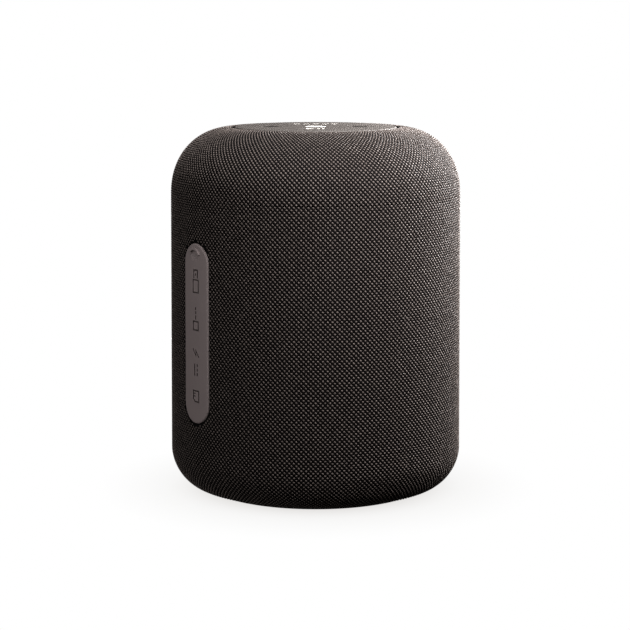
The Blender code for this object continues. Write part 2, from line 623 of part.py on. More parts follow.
def driver():
    """The loudspeaker: its basket, motor and moving cone."""
    flange, mouth = DRIVER_DIAMETER / 2, DRIVER_OPENING / 2 - GAP
    floor, sheet = BASKET_FLOOR_DIAMETER / 2, BASKET_SHEET
    bore = COIL_R + COIL_GAP + GAP
    profile = [(flange, FLANGE_TOP), (flange, FLANGE_Z), (mouth, FLANGE_Z), (floor, BASKET_FLOOR_Z),
               (bore, BASKET_FLOOR_Z), (bore, BASKET_FLOOR_Z + sheet), (floor - sheet / 2, BASKET_FLOOR_Z + sheet),
               (mouth - sheet, FLANGE_TOP)]
    basket = turned("driver_basket", profile, "plated_steel")
    windows = 4
    for i in range(windows):
        angle = 360 / windows * (i + 0.5)
        where = polar((mouth + floor) / 2, angle, (FLANGE_Z + BASKET_FLOOR_Z + sheet) / 2)
        size = (0.012, 0.011, BASKET_DEPTH * 0.42)
        cut(basket, box(f"basket_window_{i + 1}", size, where, turn=math.radians(angle)))

    plate_bore = COIL_R + COIL_GAP
    magnet_r = MAGNET_DIAMETER / 2
    ring("driver_top_plate", magnet_r - 2 * GAP, plate_bore, TOP_PLATE_Z, TOP_PLATE_Z + TOP_PLATE_THICKNESS,
         "plated_steel")
    ring("driver_magnet", magnet_r, plate_bore + 4 * GAP, MAGNET_Z, MAGNET_Z + MAGNET_HEIGHT, "ferrite")
    pole = POLE_DIAMETER / 2
    yoke = [(0, TOP_PLATE_Z + TOP_PLATE_THICKNESS), (pole, TOP_PLATE_Z + TOP_PLATE_THICKNESS),
            (pole, YOKE_Z + YOKE_THICKNESS), (magnet_r - GAP, YOKE_Z + YOKE_THICKNESS), (magnet_r - GAP, YOKE_Z),
            (0, YOKE_Z)]
    turned("driver_yoke", yoke, "plated_steel")

    ring("voice_coil", COIL_R, COIL_R - COIL_WALL, COIL_Z, COIL_TOP, "copper")
    neck, rim = COIL_R + GAP, CONE_DIAMETER / 2
    neck_z, rim_z = COIL_TOP - GAP, FLANGE_TOP + GAP
    cone = [(rim, rim_z + CONE_SHEET), (rim, rim_z), (neck, neck_z), (neck, neck_z + CONE_SHEET * 1.6)]
    turned("driver_cone", cone, "cone_paper")
    cap_z = COIL_TOP + GAP
    cap_r, cap_rise = COIL_R - GAP, 0.0030
    dome = [(cap_r * math.sin(a), cap_z + CONE_SHEET + cap_rise * (math.cos(a) - math.cos(1.3)))
            for a in (0, 0.45, 0.9, 1.3)]
    turned("dust_cap", dome + [(dome[-1][0], cap_z), (0, cap_z)], "cone_paper")
    waves = 4
    inner_r, outer_r = COIL_R + GAP, floor - sheet / 2 - GAP
    spider_z = BASKET_FLOOR_Z + sheet + 2 * GAP
    wave = [(outer_r + (inner_r - outer_r) * i / waves, spider_z + GAP * (i % 2)) for i in range(waves + 1)]
    turned("driver_spider", roll_sheet(wave), "cone_paper")
    lip = FLANGE_TOP + GAP
    surround = rolled(mouth + 3 * GAP, rim + GAP, lip, 0.0022, flange - GAP)
    turned("driver_surround", surround, "black_rubber")


def roll_sheet(line):
    """A closed section from a line of points that runs inwards, ROLL_SHEET thick upwards."""
    return line + [(r, z + ROLL_SHEET) for r, z in reversed(line)]


def rolled(outer, inner, base, rise, lip=None):
    """The section of a half-roll surround, running inwards from its lip along its underside."""
    middle, half = (outer + inner) / 2, (outer - inner) / 2
    arc = [(middle + half * math.cos(a), base + rise * math.sin(a)) for a in
           [math.pi * i / ROLL_POINTS for i in range(ROLL_POINTS + 1)]]
    return roll_sheet(([(lip, base)] if lip else []) + arc)


def passive_radiator():
    opening = PASSIVE_OPENING / 2
    ring("passive_frame", PASSIVE_FRAME_R, opening, PASSIVE_Z, PASSIVE_Z + PASSIVE_FRAME_HEIGHT, "black_plastic")
    plate_r = PASSIVE_PLATE_DIAMETER / 2
    disc("passive_plate", plate_r, PASSIVE_PLATE_Z, PASSIVE_PLATE_Z + PASSIVE_PLATE_THICKNESS, "plated_steel")
    surround = rolled(opening - GAP, plate_r + GAP, PASSIVE_PLATE_Z, 0.0022)
    turned("passive_surround", surround, "black_rubber")


def power_pack():
    for i, side in enumerate((-1, 1), 1):
        cell_r, half = CELL_DIAMETER / 2, CELL_LENGTH / 2
        y = side * CELL_SPACING / 2
        rod(f"battery_cell_{i}", cell_r, (-half, y, CELL_Z), (half, y, CELL_Z), "cell_wrap", steps=ROUND_STEPS)
    tray_z = FLOOR_TOP + GAP
    tray = box("battery_tray", (MAIN_BOARD_LENGTH, MAIN_BOARD_WIDTH, TRAY_SHEET),
               (0, 0, tray_z + TRAY_SHEET / 2), "black_plastic")
    wall_top = MAIN_BOARD_Z - SEAT_GAP
    for i, side in enumerate((-1, 1), 1):
        size = (TRAY_SHEET, MAIN_BOARD_WIDTH, wall_top - tray_z)
        centre = (side * (TRAY_HALF + TRAY_SHEET / 2), 0, (wall_top + tray_z) / 2)
        join(tray, box(f"tray_end_{i}", size, centre))
    box("main_board", (MAIN_BOARD_LENGTH, MAIN_BOARD_WIDTH, BOARD_THICKNESS),
        (0, 0, MAIN_BOARD_Z + BOARD_THICKNESS / 2), "circuit_board")
    chips = {"amplifier_chip": ((0.0080, 0.0080, 0.0012), (-0.0265, 0.004)),
             "radio_module": ((0.0110, 0.0150, 0.0018), (0.0262, -0.006))}
    for name, (size, (x, y)) in chips.items():
        box(name, size, (x, y, MAIN_BOARD_TOP + SEAT_GAP + size[2] / 2), "black_plastic")


# Ports


def socket_box(name, size, z, y, finish, face=None):
    """A socket's block, from its size as (height, width, depth), with its face towards the cover."""
    height, width, depth = size
    face = SOCKET_FACE_X if face is None else face
    return box(name, (depth, width, height), (face - depth / 2, y, z), finish, PORT)


def aperture(bezel, name, size, z, y):
    height, width, _ = size
    hole = (4 * BEZEL_DEPTH, width + 2 * GAP, height + 2 * GAP)
    cut(bezel, box(f"{name}_aperture", hole, (BEZEL_FACE_X, y, z), parent=PORT))


def hollow_of(size):
    """The space inside a metal socket shell: (height, width, depth)."""
    height, width, depth = size
    return height - 2 * SOCKET_WALL, width - 2 * SOCKET_WALL, depth - 2 * SOCKET_WALL


def low_y(size):
    """Where a low socket sits, so that it rests on the port board."""
    return PORT_BOARD_Y + BOARD_THICKNESS / 2 + SEAT_GAP + size[1] / 2


def ports():
    bezel = pill("port_bezel", COVER_WIDTH, COVER_LENGTH, BEZEL_BACK_X, BEZEL_FACE_X, COVER_MIDDLE_Z,
                 "black_plastic", PORT)
    flange_front = BEZEL_BACK_X + BEZEL_FLANGE_DEPTH
    join(bezel, pill("bezel_flange", COVER_WIDTH + 2 * BEZEL_FLANGE, COVER_LENGTH + 2 * BEZEL_FLANGE,
                     BEZEL_BACK_X, flange_front, COVER_MIDDLE_Z, parent=PORT))
    usb_y = low_y(USB_SIZE)
    charge_y, card_y = low_y(CHARGE_SIZE), low_y(CARD_SIZE)
    jack_y = low_y((JACK_NOSE[0], JACK_NOSE[0], 0))
    aperture(bezel, "usb", USB_SIZE, USB_Z, usb_y)
    aperture(bezel, "charge", CHARGE_SIZE, CHARGE_Z, charge_y)
    aperture(bezel, "card", CARD_SIZE, CARD_Z, card_y)
    nose_r = JACK_NOSE[0] / 2
    cut(bezel, rod("jack_aperture", nose_r + GAP, (BEZEL_BACK_X - GAP, jack_y, JACK_Z),
                   (BEZEL_FACE_X + GAP, jack_y, JACK_Z), parent=PORT, steps=ROUND_STEPS))

    usb = socket_box("usb_socket", USB_SIZE, USB_Z, usb_y, "plated_steel")
    height, width, depth = hollow_of(USB_SIZE)
    hollow = box("usb_hollow", (depth, width, height), (SOCKET_FACE_X + GAP - depth / 2, usb_y, USB_Z), parent=PORT)
    tongue_size = (depth - 3 * SOCKET_WALL, width * 0.36, height * 0.88)
    tongue_x = SOCKET_FACE_X - USB_SIZE[2] + tongue_size[0] / 2 + SOCKET_WALL / 2
    tongue = box("usb_tongue", tongue_size, (tongue_x, usb_y + width * 0.18, USB_Z), parent=PORT)
    join(cut(usb, hollow), tongue)

    jack_back_face = BEZEL_BACK_X - SEAT_GAP
    jack = socket_box("aux_jack", JACK_SIZE, JACK_Z, low_y(JACK_SIZE), "black_plastic", jack_back_face)
    nose_start = (jack_back_face - SOCKET_WALL, jack_y, JACK_Z)
    nose = rod("jack_nose", nose_r, nose_start, (SOCKET_FACE_X, jack_y, JACK_Z), parent=PORT)
    bore = rod("jack_bore", JACK_BORE / 2, (jack_back_face - JACK_SIZE[2] + SHELL_SIDE * 2, jack_y, JACK_Z),
               (SOCKET_FACE_X + GAP, jack_y, JACK_Z), parent=PORT)
    cut(join(jack, nose), bore)

    charge = socket_box("charge_socket", CHARGE_SIZE, CHARGE_Z, charge_y, "plated_steel")
    height, width, depth = hollow_of(CHARGE_SIZE)
    cut(charge, box("charge_hollow", (depth, width - SHELL_SIDE, height - SHELL_SIDE),
                    (SOCKET_FACE_X + GAP - depth / 2, charge_y, CHARGE_Z), parent=PORT))
    card = socket_box("card_socket", CARD_SIZE, CARD_Z, card_y, "plated_steel")
    height, width, depth = hollow_of(CARD_SIZE)
    cut(card, box("card_hollow", (depth, width - SHELL_SIDE, height - SHELL_SIDE),
                  (SOCKET_FACE_X + GAP - depth / 2, card_y, CARD_Z), parent=PORT))

    board_back = CHAMBER_R + 2 * GAP
    board_front = BEZEL_BACK_X - SEAT_GAP
    low_end, high_end = CARD_Z - CARD_SIZE[0] / 2, USB_Z + USB_SIZE[0] / 2
    box("port_board", (board_front - board_back, BOARD_THICKNESS, high_end - low_end),
        ((board_front + board_back) / 2, PORT_BOARD_Y, (high_end + low_end) / 2), "circuit_board", PORT)
    port_cover(usb_y, jack_y, charge_y)


def port_cover(usb_y, jack_y, charge_y):
    """The rubber cover, hinged along its lower end, with a plug for each port that needs one."""
    hinge = bpy.data.objects.new("cover_hinge", None)
    PARTS.objects.link(hinge)
    hinge.parent = PORT
    hinge.location = (COVER_R, 0, HINGE_Z)
    origin = Vector(hinge.location)
    cover = pill("port_cover", COVER_WIDTH, COVER_LENGTH, COVER_BACK_X, COVER_R + GAP, COVER_MIDDLE_Z,
                 "taupe_rubber", hinge, at=origin)
    drum = disc("cover_drum", COVER_R, HINGE_Z - 0.01, TOP_SEAM_Z, steps=BODY_STEPS * 3)
    combine(cover, drum, "INTERSECT")

    def plug(name, size, z, y):
        depth, width, height = size
        body = box(name, size, Vector((COVER_BACK_X + GAP - depth / 2, y, z)) - origin, parent=hinge)
        join(cover, body)

    usb_height, usb_width, _ = hollow_of(USB_SIZE)
    plug("usb_plug", (0.0031, usb_width * 0.30, usb_height * 0.86), USB_Z, usb_y - usb_width * 0.27)
    charge_height, charge_width, _ = hollow_of(CHARGE_SIZE)
    plug("charge_plug", (0.0021, charge_width * 0.55, charge_height * 0.78), CHARGE_Z, charge_y)
    pin_start = Vector((COVER_BACK_X + GAP, jack_y, JACK_Z)) - origin
    pin_end = Vector((SOCKET_FACE_X - 0.0015, jack_y, JACK_Z)) - origin
    join(cover, rod("jack_plug", JACK_BORE / 2 - GAP, pin_start, pin_end, parent=hinge))
    grip_z = COVER_MIDDLE_Z + COVER_LENGTH / 2 - COVER_WIDTH * 0.2
    grip = box("cover_grip", (0.0016, 0.0064, 0.0016), Vector((COVER_R, 0, grip_z)) - origin, parent=hinge)
    join(cover, grip)

    strap = (BEZEL_FLANGE_DEPTH, STRAP_WIDTH, STRAP_HEIGHT)
    pocket = (strap[0] + 2 * GAP, strap[1] + 2 * GAP, strap[2] + 2 * GAP)
    end_r, reach = COVER_WIDTH / 2, STRAP_WIDTH / 2 + STRAP_WALL
    strap_low = COVER_MIDDLE_Z - COVER_LENGTH / 2 + end_r - math.sqrt(end_r**2 - reach**2)
    centre = (BEZEL_FACE_X - strap[0] / 2, 0, strap_low + STRAP_HEIGHT / 2)
    box("cover_strap", strap, centre, "taupe_rubber", PORT)
    cut(bpy.data.objects["port_bezel"], box("strap_pocket", pocket, centre, parent=PORT))


# Fasteners and leads


def screws():
    for i, angle in enumerate(LEG_ANGLES, 1):
        seat = FLOOR_Z - SEAT_GAP
        screw(f"base_screw_{i}", BASE_SCREW_HEAD / 2, seat, BASE_SCREW_LENGTH, polar(LEG_REACH, angle))
    for i, angle in enumerate(EAR_ANGLES, 1):
        seat = BAFFLE_Z - SEAT_GAP
        screw(f"post_screw_{i}", POST_SCREW_HEAD / 2, seat, POST_SCREW_LENGTH, polar(EAR_REACH, angle))


def screw(name, head, seat, length, at):
    """A screw driven upwards, with its head's seat at the given height and a recess for the driver."""
    shank = SCREW_SHANK / 2
    recess = SCREW_HEAD_HEIGHT * 0.6
    low = seat - SCREW_HEAD_HEIGHT
    profile = [(0, seat + length), (shank, seat + length - shank), (shank, seat), (head, seat), (head, low),
               (head * 0.4, low), (head * 0.4, low + recess), (0, low + recess)]
    turned(name, profile, "plated_steel", SMALL_STEPS, at=at)


def leads():
    down = polar(LEAD_REACH, LEAD_ANGLE)
    board_end = MAIN_BOARD_TOP + SEAT_GAP
    basket_side = polar(BASKET_FLOOR_DIAMETER / 2 + 0.0040, LEAD_ANGLE, BASKET_FLOOR_Z - 0.0006)
    route = [basket_side, polar(LEAD_REACH - 0.0050, LEAD_ANGLE, 0.0750), polar(LEAD_REACH - 0.0010, LEAD_ANGLE, 0.0640),
             down + Vector((0, 0, 0.0500)), down + Vector((0, 0, 0.0360)), down + Vector((0, 0, board_end))]
    lead("driver_lead", route, LEAD_DIAMETER, "wire_jacket")
    angle = PORT_ANGLE + 130
    under_board = DIFFUSER_Z - LEAD_DIAMETER / 2
    route = [polar(0.0252, angle, under_board), polar(0.0300, angle, 0.1170), polar(0.0380, angle, 0.1085),
             polar(0.0420, angle, 0.0970), polar(0.0425, angle, 0.0800), polar(0.0425, angle, 0.0450),
             polar(0.0400, angle, 0.0335), polar(0.0345, angle, MAIN_BOARD_TOP + LEAD_DIAMETER)]
    lead("key_lead", route, LEAD_DIAMETER, "wire_jacket")


clear_scene()
PARTS = collection("smart_speaker")
CUTTERS = collection("cutters", hidden=True)
PORT = bpy.data.objects.new("port_frame", None)
PARTS.objects.link(PORT)
PORT.rotation_euler = (0, 0, math.radians(PORT_ANGLE))
cloths()
top_shell()
grille_tube()
bottom_cap()
base_plate()
control_panel()
chamber()
driver()
passive_radiator()
power_pack()
ports()
screws()
leads()
for part in PARTS.objects:
    if part.type == "MESH":
        part.data.shade_smooth()
        part.data.set_sharp_from_angle(angle=math.radians(35))
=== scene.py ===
"""The looks of a cloth-covered portable speaker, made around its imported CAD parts.

Everything is in metres, in the CAD model's own frame: +Z up, the front at -Y, the ports round the side.
"""

import json
import math

import bmesh
import bpy
import numpy as np
from mathutils import Matrix, Vector


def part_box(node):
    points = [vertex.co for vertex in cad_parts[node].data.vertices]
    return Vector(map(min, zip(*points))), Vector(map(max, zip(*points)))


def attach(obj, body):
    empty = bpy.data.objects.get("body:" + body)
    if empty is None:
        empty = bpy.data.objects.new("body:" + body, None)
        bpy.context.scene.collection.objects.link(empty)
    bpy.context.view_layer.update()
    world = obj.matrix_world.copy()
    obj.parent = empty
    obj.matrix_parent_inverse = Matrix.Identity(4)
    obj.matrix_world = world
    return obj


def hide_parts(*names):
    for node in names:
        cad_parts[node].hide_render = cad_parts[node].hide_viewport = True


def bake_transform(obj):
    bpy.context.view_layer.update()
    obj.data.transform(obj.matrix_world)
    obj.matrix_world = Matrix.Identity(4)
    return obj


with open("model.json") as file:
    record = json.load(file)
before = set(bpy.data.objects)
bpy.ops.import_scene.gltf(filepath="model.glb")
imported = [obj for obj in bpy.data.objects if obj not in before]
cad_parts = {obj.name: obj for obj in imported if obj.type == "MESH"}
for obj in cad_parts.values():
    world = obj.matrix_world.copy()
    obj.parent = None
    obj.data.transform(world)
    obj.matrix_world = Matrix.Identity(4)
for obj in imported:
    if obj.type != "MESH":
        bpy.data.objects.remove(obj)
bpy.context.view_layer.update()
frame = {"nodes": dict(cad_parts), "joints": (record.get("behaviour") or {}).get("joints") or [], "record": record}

# ---------------------------------------------------------------- sizes

MM = 0.001
EDGE_GAP = 0.3 * MM
CLOTH_THICKNESS = 1.0 * MM
TOP_POWER, BOTTOM_POWER = 2.15, 1.8

cloth_low, cloth_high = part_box("body_cloth")
top_low, top_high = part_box("top_cloth")
bottom_low, bottom_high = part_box("bottom_cloth")
panel_low, panel_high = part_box("control_panel")
base_low, base_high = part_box("base_plate")
foot_low, foot_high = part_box("foot_ring")
BODY_R = top_high.x
TOP_Z = top_high.z
TOP_SEAM_Z = (top_low.z + cloth_high.z) / 2
BOTTOM_SEAM_Z = (bottom_high.z + cloth_low.z) / 2
BOTTOM_Z = bottom_low.z
PANEL_R = panel_high.x
TOP_INNER_R = PANEL_R + EDGE_GAP
BASE_R = base_high.x
BOTTOM_INNER_R = BASE_R + EDGE_GAP

# The cloth's yarn nubs: columns round the drum, and the height of two staggered rows
COLUMNS = 200
ROW_PAIR = 1.62 * MM
NUB_LENGTH, NUB_WIDTH, NUB_HEIGHT = 0.90 * MM, 0.68 * MM, 0.34 * MM
GROUND_SET_IN = 0.20 * MM
FLARE = 0.55 * MM
ROUND = 256

# The port cover's joint gives its place: the hinge line is level, just under the cover's lower end
hinge = next(joint for joint in frame["joints"] if joint["child"] == "port_cover")
hinge_at = Vector(hinge["pos_m"])
PORT_ANGLE = math.atan2(hinge_at.y, hinge_at.x)
COVER_R = Vector((hinge_at.x, hinge_at.y)).length
COVER_WIDTH, COVER_LENGTH = 13.8 * MM, 61.0 * MM
COVER_MIDDLE_Z = hinge_at.z + EDGE_GAP + COVER_LENGTH / 2
COVER_PLATE = 1.6 * MM
WINDOW_WIDTH, WINDOW_LENGTH = COVER_WIDTH + 2 * EDGE_GAP, COVER_LENGTH + 2 * EDGE_GAP


def tone(red, green, blue):
    """A screen colour of 0 to 255 a channel, as the linear values that a shader takes."""
    values = [c / 255 for c in (red, green, blue)]
    return (*[v / 12.92 if v <= 0.04045 else ((v + 0.055) / 1.055) ** 2.4 for v in values], 1.0)


def flare(z):
    """How far the side stands out beyond the drum at a height: it widens a little downwards."""
    return FLARE * min(1.0, max(0.0, (TOP_SEAM_Z - z) / (TOP_SEAM_Z - BOTTOM_SEAM_Z)))


# ---------------------------------------------------------------- finishes


class Field:
    """A value that changes over a surface, which takes part in plain arithmetic."""

    def __init__(self, finish, socket):
        self.finish = finish
        self.socket = socket

    def math(self, operation, *values):
        return self.finish.node("ShaderNodeMath", {"operation": operation}, dict(enumerate(values)))

    def __add__(self, other):
        return self.math("ADD", self, other)

    __radd__ = __add__

    def __sub__(self, other):
        return self.math("SUBTRACT", self, other)

    def __rsub__(self, other):
        return self.math("SUBTRACT", other, self)

    def __mul__(self, other):
        return self.math("MULTIPLY", self, other)

    __rmul__ = __mul__

    def __pow__(self, other):
        return self.math("POWER", self, other)

    def sine(self):
        return self.math("SINE", self)

    def size(self):
        return self.math("ABSOLUTE", self)

    def between(self, low, high):
        """0 where this is at low, 1 where it is at high, smoothly between and level outside."""
        values = {"Value": self, "From Min": low, "From Max": high}
        return self.finish.node("ShaderNodeMapRange", {"interpolation_type": "SMOOTHSTEP"}, values)


class Finish:
    """A material made of nodes."""

    def __init__(self, name):
        self.material = bpy.data.materials.new(name)
        self.material.use_nodes = True
        self.tree = self.material.node_tree
        self.shader = self.tree.nodes["Principled BSDF"]

    def node(self, kind, settings=None, values=None, out=0):
        made = self.tree.nodes.new(kind)
        for name, setting in (settings or {}).items():
            setattr(made, name, setting)
        for name, value in (values or {}).items():
            self.feed(made.inputs[name], value)
        return Field(self, made.outputs[out])

    def feed(self, socket, value):
        if isinstance(value, Field):
            self.tree.links.new(value.socket, socket)
        else:
            socket.default_value = value

    def place(self):
        return self.node("ShaderNodeTexCoord", out="Object")

    def along(self):
        """The piece's own two-way measure: columns of nubs round it, and pairs of rows up it."""
        return self.node("ShaderNodeTexCoord", out="UV")

    def split(self, vector):
        made = self.node("ShaderNodeSeparateXYZ", values={0: vector})
        return [Field(self, made.socket.node.outputs[i]) for i in range(3)]

    def own(self, name):
        return self.node("ShaderNodeAttribute", {"attribute_name": name}, out="Fac")

    def stretch(self, vector, scale, turn=(0, 0, 0)):
        return self.node("ShaderNodeMapping", values={"Vector": vector, "Scale": scale, "Rotation": turn})

    def noise(self, scale, detail=2.0, roughness=0.5, vector=None):
        vector = vector or self.place()
        values = {"Vector": vector, "Scale": scale, "Detail": detail, "Roughness": roughness}
        return self.node("ShaderNodeTexNoise", values=values)

    def cells(self, scale):
        return self.node("ShaderNodeTexVoronoi", values={"Vector": self.place(), "Scale": scale})

    def mix(self, share, low, high):
        values = {0: share, 6: low, 7: high}
        return self.node("ShaderNodeMix", {"data_type": "RGBA"}, values, out=2)

    def bump(self, height, strength, distance):
        values = {"Height": height, "Strength": strength, "Distance": distance}
        return self.node("ShaderNodeBump", values=values)

    def edge(self, radius):
        """Near 1 on outer edges and corners, where hands rub, and near 0 on open faces."""
        made = self.node("ShaderNodeNewGeometry", out="Pointiness")
        return made.between(0.5, 0.5 + radius)

    def surface(self, values):
        for name, value in values.items():
            self.feed(self.shader.inputs[name], value)
        return self


def shaded(colour, share):
    """A colour made darker or lighter by a share."""
    return (*[min(1, c * share) for c in colour[:3]], 1)


def moulded(name, colour, roughness, grain=0.35 * MM, depth=0.012 * MM, mottle=0.08, extra=None):
    """Moulded or coated stuff with a fine grain, faint mottling and slightly uneven gloss."""
    finish = Finish(name)
    dark, light = shaded(colour, 1 - mottle), shaded(colour, 1 + mottle)
    fine = finish.noise(1 / grain, 3.0, 0.6)
    broad = finish.noise(90, 2.0)
    values = {
        "Base Color": finish.mix(broad * 0.6 + fine * 0.4, dark, light),
        "Roughness": (fine - 0.5) * 0.12 + (broad - 0.5) * 0.1 + roughness,
        "Metallic": 0.0,
        "Normal": finish.bump(fine, 0.5, depth),
    }
    return finish.surface({**values, **(extra or {})})


def cloth_ground():
    """The dark backing between the nubs: two sets of fine threads that cross on the slant."""
    finish = Finish("cloth_ground")
    across, up, _ = finish.split(finish.along())
    turn = 2 * math.pi
    leaning = ((across + up) * turn).sine() * 0.5 + 0.5
    falling = ((across - up) * turn).sine() * 0.5 + 0.5
    fibres = finish.noise(9.0, 3.0, 0.6, finish.stretch(finish.along(), (3.0, 3.0, 1.0), (0, 0, math.pi / 4)))
    thread = (leaning * 0.6 + falling * 0.4) * (fibres * 0.6 + 0.5)
    return finish.surface({
        "Base Color": finish.mix(thread, tone(4, 3, 3), tone(14, 10, 10)),
        "Roughness": fibres * 0.15 + 0.85,
        "Specular IOR Level": 0.08,
        "Normal": finish.bump(thread, 0.6, 0.12 * MM),
    })


def nub_yarn():
    """The bright yarn of each nub, each a little lighter or darker than the next, with fibres along it."""
    finish = Finish("nub_yarn")
    shade = finish.own("shade")
    fibres = finish.noise(1 / (0.12 * MM), 2.0, 0.6, finish.stretch(finish.place(), (1.0, 1.0, 0.35)))
    return finish.surface({
        "Base Color": finish.mix(shade * 0.5 + fibres * 0.5, YARN_DARK, YARN_LIGHT),
        "Roughness": fibres * 0.16 + 0.6,
        "Specular IOR Level": 0.25,
        "Normal": finish.bump(fibres, 0.4, 0.03 * MM),
    })


def satin_panel(name, colour):
    """Satin plastic with a faint fine texture, a little smoother where fingers press."""
    finish = Finish(name)
    fine = finish.noise(1 / (0.16 * MM), 2.0, 0.55)
    broad = finish.noise(60, 2.0)
    x, y, _ = finish.split(finish.place())
    reach = (x * x + y * y) ** 0.5
    rubbed = reach.between(22 * MM, 12 * MM) * (broad * 0.5 + 0.5)
    dark, light = shaded(colour, 0.94), shaded(colour, 1.06)
    return finish.surface({
        "Base Color": finish.mix(fine * 0.5 + broad * 0.5, dark, light),
        "Roughness": (fine - 0.5) * 0.1 - rubbed * 0.06 + 0.54,
        "Specular IOR Level": 0.25,
        "Normal": finish.bump(fine, 0.25, 0.004 * MM),
    })


def soft_rubber(name, colour, roughness=0.62):
    """Moulded silicone rubber: matt, very fine grain, a little dust in it and paler along worn edges."""
    finish = Finish(name)
    fine = finish.noise(1 / (0.22 * MM), 3.0, 0.6)
    broad = finish.noise(140, 3.0)
    dust = finish.noise(1 / (0.5 * MM), 1.0).between(0.66, 0.74) * 0.12
    body = finish.mix(broad * 0.5 + fine * 0.5, shaded(colour, 0.9), shaded(colour, 1.1))
    worn = finish.mix(finish.edge(0.06) * 0.25 + dust, body, shaded(colour, 1.7))
    return finish.surface({
        "Base Color": worn,
        "Roughness": (broad - 0.5) * 0.14 + (fine - 0.5) * 0.1 + roughness,
        "Specular IOR Level": 0.35,
        "Normal": finish.bump(fine, 0.5, 0.015 * MM),
    })


def bright_metal(name, colour, roughness):
    """Plated or brushed metal, with fine lines one way and faint stains."""
    finish = Finish(name)
    lines = finish.noise(1 / (0.08 * MM), 2.0, 0.6, finish.stretch(finish.place(), (1.0, 1.0, 0.05)))
    stains = finish.noise(160, 3.0)
    return finish.surface({
        "Base Color": finish.mix(stains, shaded(colour, 0.86), colour),
        "Roughness": (lines - 0.5) * 0.14 + (stains - 0.5) * 0.1 + roughness,
        "Metallic": 1.0,
        "Normal": finish.bump(lines, 0.2, 0.004 * MM),
    })


def circuit_board():
    """Green solder mask over copper tracks, with bare pads here and there."""
    finish = Finish("circuit_board")
    place = finish.place()
    x, y, _ = finish.split(place)
    wander = finish.noise(250, 1.0) * 0.8
    tracks = ((x * 2600 + wander) * math.pi).sine().size().between(0.78, 0.9)
    bars = ((y * 2600 + wander) * math.pi).sine().size().between(0.78, 0.9)
    zones = finish.noise(120, 0.0).between(0.48, 0.52)
    copper = tracks * zones + bars * (1 - zones)
    pads = finish.cells(420).between(0.16, 0.12)
    mask = finish.mix(copper * 0.7, tone(12, 66, 40), tone(26, 104, 62))
    return finish.surface({
        "Base Color": finish.mix(pads, mask, tone(196, 190, 170)),
        "Roughness": 0.42 - pads * 0.12,
        "Metallic": pads * 0.8,
        "Normal": finish.bump(copper + pads, 0.4, 0.03 * MM),
    })


def cone_paper():
    """Pressed paper pulp with loose fibres."""
    finish = Finish("cone_paper")
    fibres = finish.noise(1 / (0.4 * MM), 5.0, 0.75, finish.stretch(finish.place(), (1.0, 0.3, 1.0)))
    return finish.surface({
        "Base Color": finish.mix(fibres, tone(30, 29, 30), tone(66, 63, 62)),
        "Roughness": fibres * 0.2 + 0.75,
        "Normal": finish.bump(fibres, 0.7, 0.05 * MM),
    })


def wound_wire():
    """Enamelled copper wire, wound turn on turn."""
    finish = Finish("wound_wire")
    _, _, z = finish.split(finish.place())
    turns = (z * (2 * math.pi / (0.28 * MM))).sine() * 0.5 + 0.5
    return finish.surface({
        "Base Color": finish.mix(turns, tone(110, 52, 26), tone(206, 128, 82)),
        "Roughness": 0.4 - turns * 0.1,
        "Metallic": 0.9,
        "Normal": finish.bump(turns, 0.8, 0.08 * MM),
    })


YARN_DARK, YARN_LIGHT = tone(72, 64, 61), tone(100, 90, 85)
# The panel's taupe is painted darker than the cover's, though both are one colour on the speaker. This offsets the
# strong light from above: painted shade on the top.
PANEL_TAUPE_PAINTED_SHADE = tone(74, 69, 66)
COVER_TAUPE = tone(128, 116, 115)
BLACK = tone(26, 25, 26)

GROUND, YARN = cloth_ground(), nub_yarn()
PANEL = satin_panel("satin_taupe", PANEL_TAUPE_PAINTED_SHADE)
COVER = soft_rubber("taupe_silicone", COVER_TAUPE)
# The carved pictograms take a darker silicone than the cover: painted shade in the recesses.
ENGRAVED_PAINTED_SHADE = soft_rubber("engraved_silicone", tone(64, 55, 53), 0.75)
FOOT = soft_rubber("black_foot_rubber", tone(30, 29, 29), 0.8)
INK = moulded("dark_ink", tone(30, 27, 26), 0.7, grain=0.1 * MM, depth=0.004 * MM,
              extra={"Specular IOR Level": 0.1})
WHITE = moulded("white_lens", tone(236, 232, 226), 0.38, grain=0.2 * MM, depth=0.004 * MM, mottle=0.02)
PRINT = moulded("white_print", tone(216, 211, 204), 0.5, grain=0.1 * MM, depth=0.003 * MM, mottle=0.03)
SHELL = moulded("black_moulding", BLACK, 0.55, grain=0.3 * MM, depth=0.02 * MM, mottle=0.15)
STEEL = bright_metal("plated_steel", tone(196, 196, 200), 0.3)
DARK_STEEL = bright_metal("black_zinc", tone(64, 63, 66), 0.42)
FERRITE = moulded("ferrite", tone(58, 58, 62), 0.6, grain=0.5 * MM, depth=0.05 * MM, mottle=0.2)
WRAP = moulded("cell_film", tone(34, 88, 158), 0.32, grain=2.0 * MM, depth=0.05 * MM, mottle=0.06)
JACKET = moulded("wire_jacket", tone(40, 38, 40), 0.5, grain=0.4 * MM, depth=0.02 * MM, mottle=0.12)
BOARD, PAPER, WINDING = circuit_board(), cone_paper(), wound_wire()

SLOT_FINISH = {
    "speaker_cloth": GROUND, "taupe_plastic": PANEL, "taupe_rubber": COVER, "white_lens": WHITE,
    "black_plastic": SHELL, "black_rubber": FOOT, "circuit_board": BOARD, "plated_steel": STEEL,
    "ferrite": FERRITE, "copper": WINDING, "cone_paper": PAPER, "cell_wrap": WRAP, "wire_jacket": JACKET,
}
for part in frame["record"]["subparts"]:
    cad = frame["nodes"][part["node"]]
    cad.data.materials.clear()
    cad.data.materials.append(SLOT_FINISH[part["material_slot"]].material)


# ---------------------------------------------------------------- making pieces


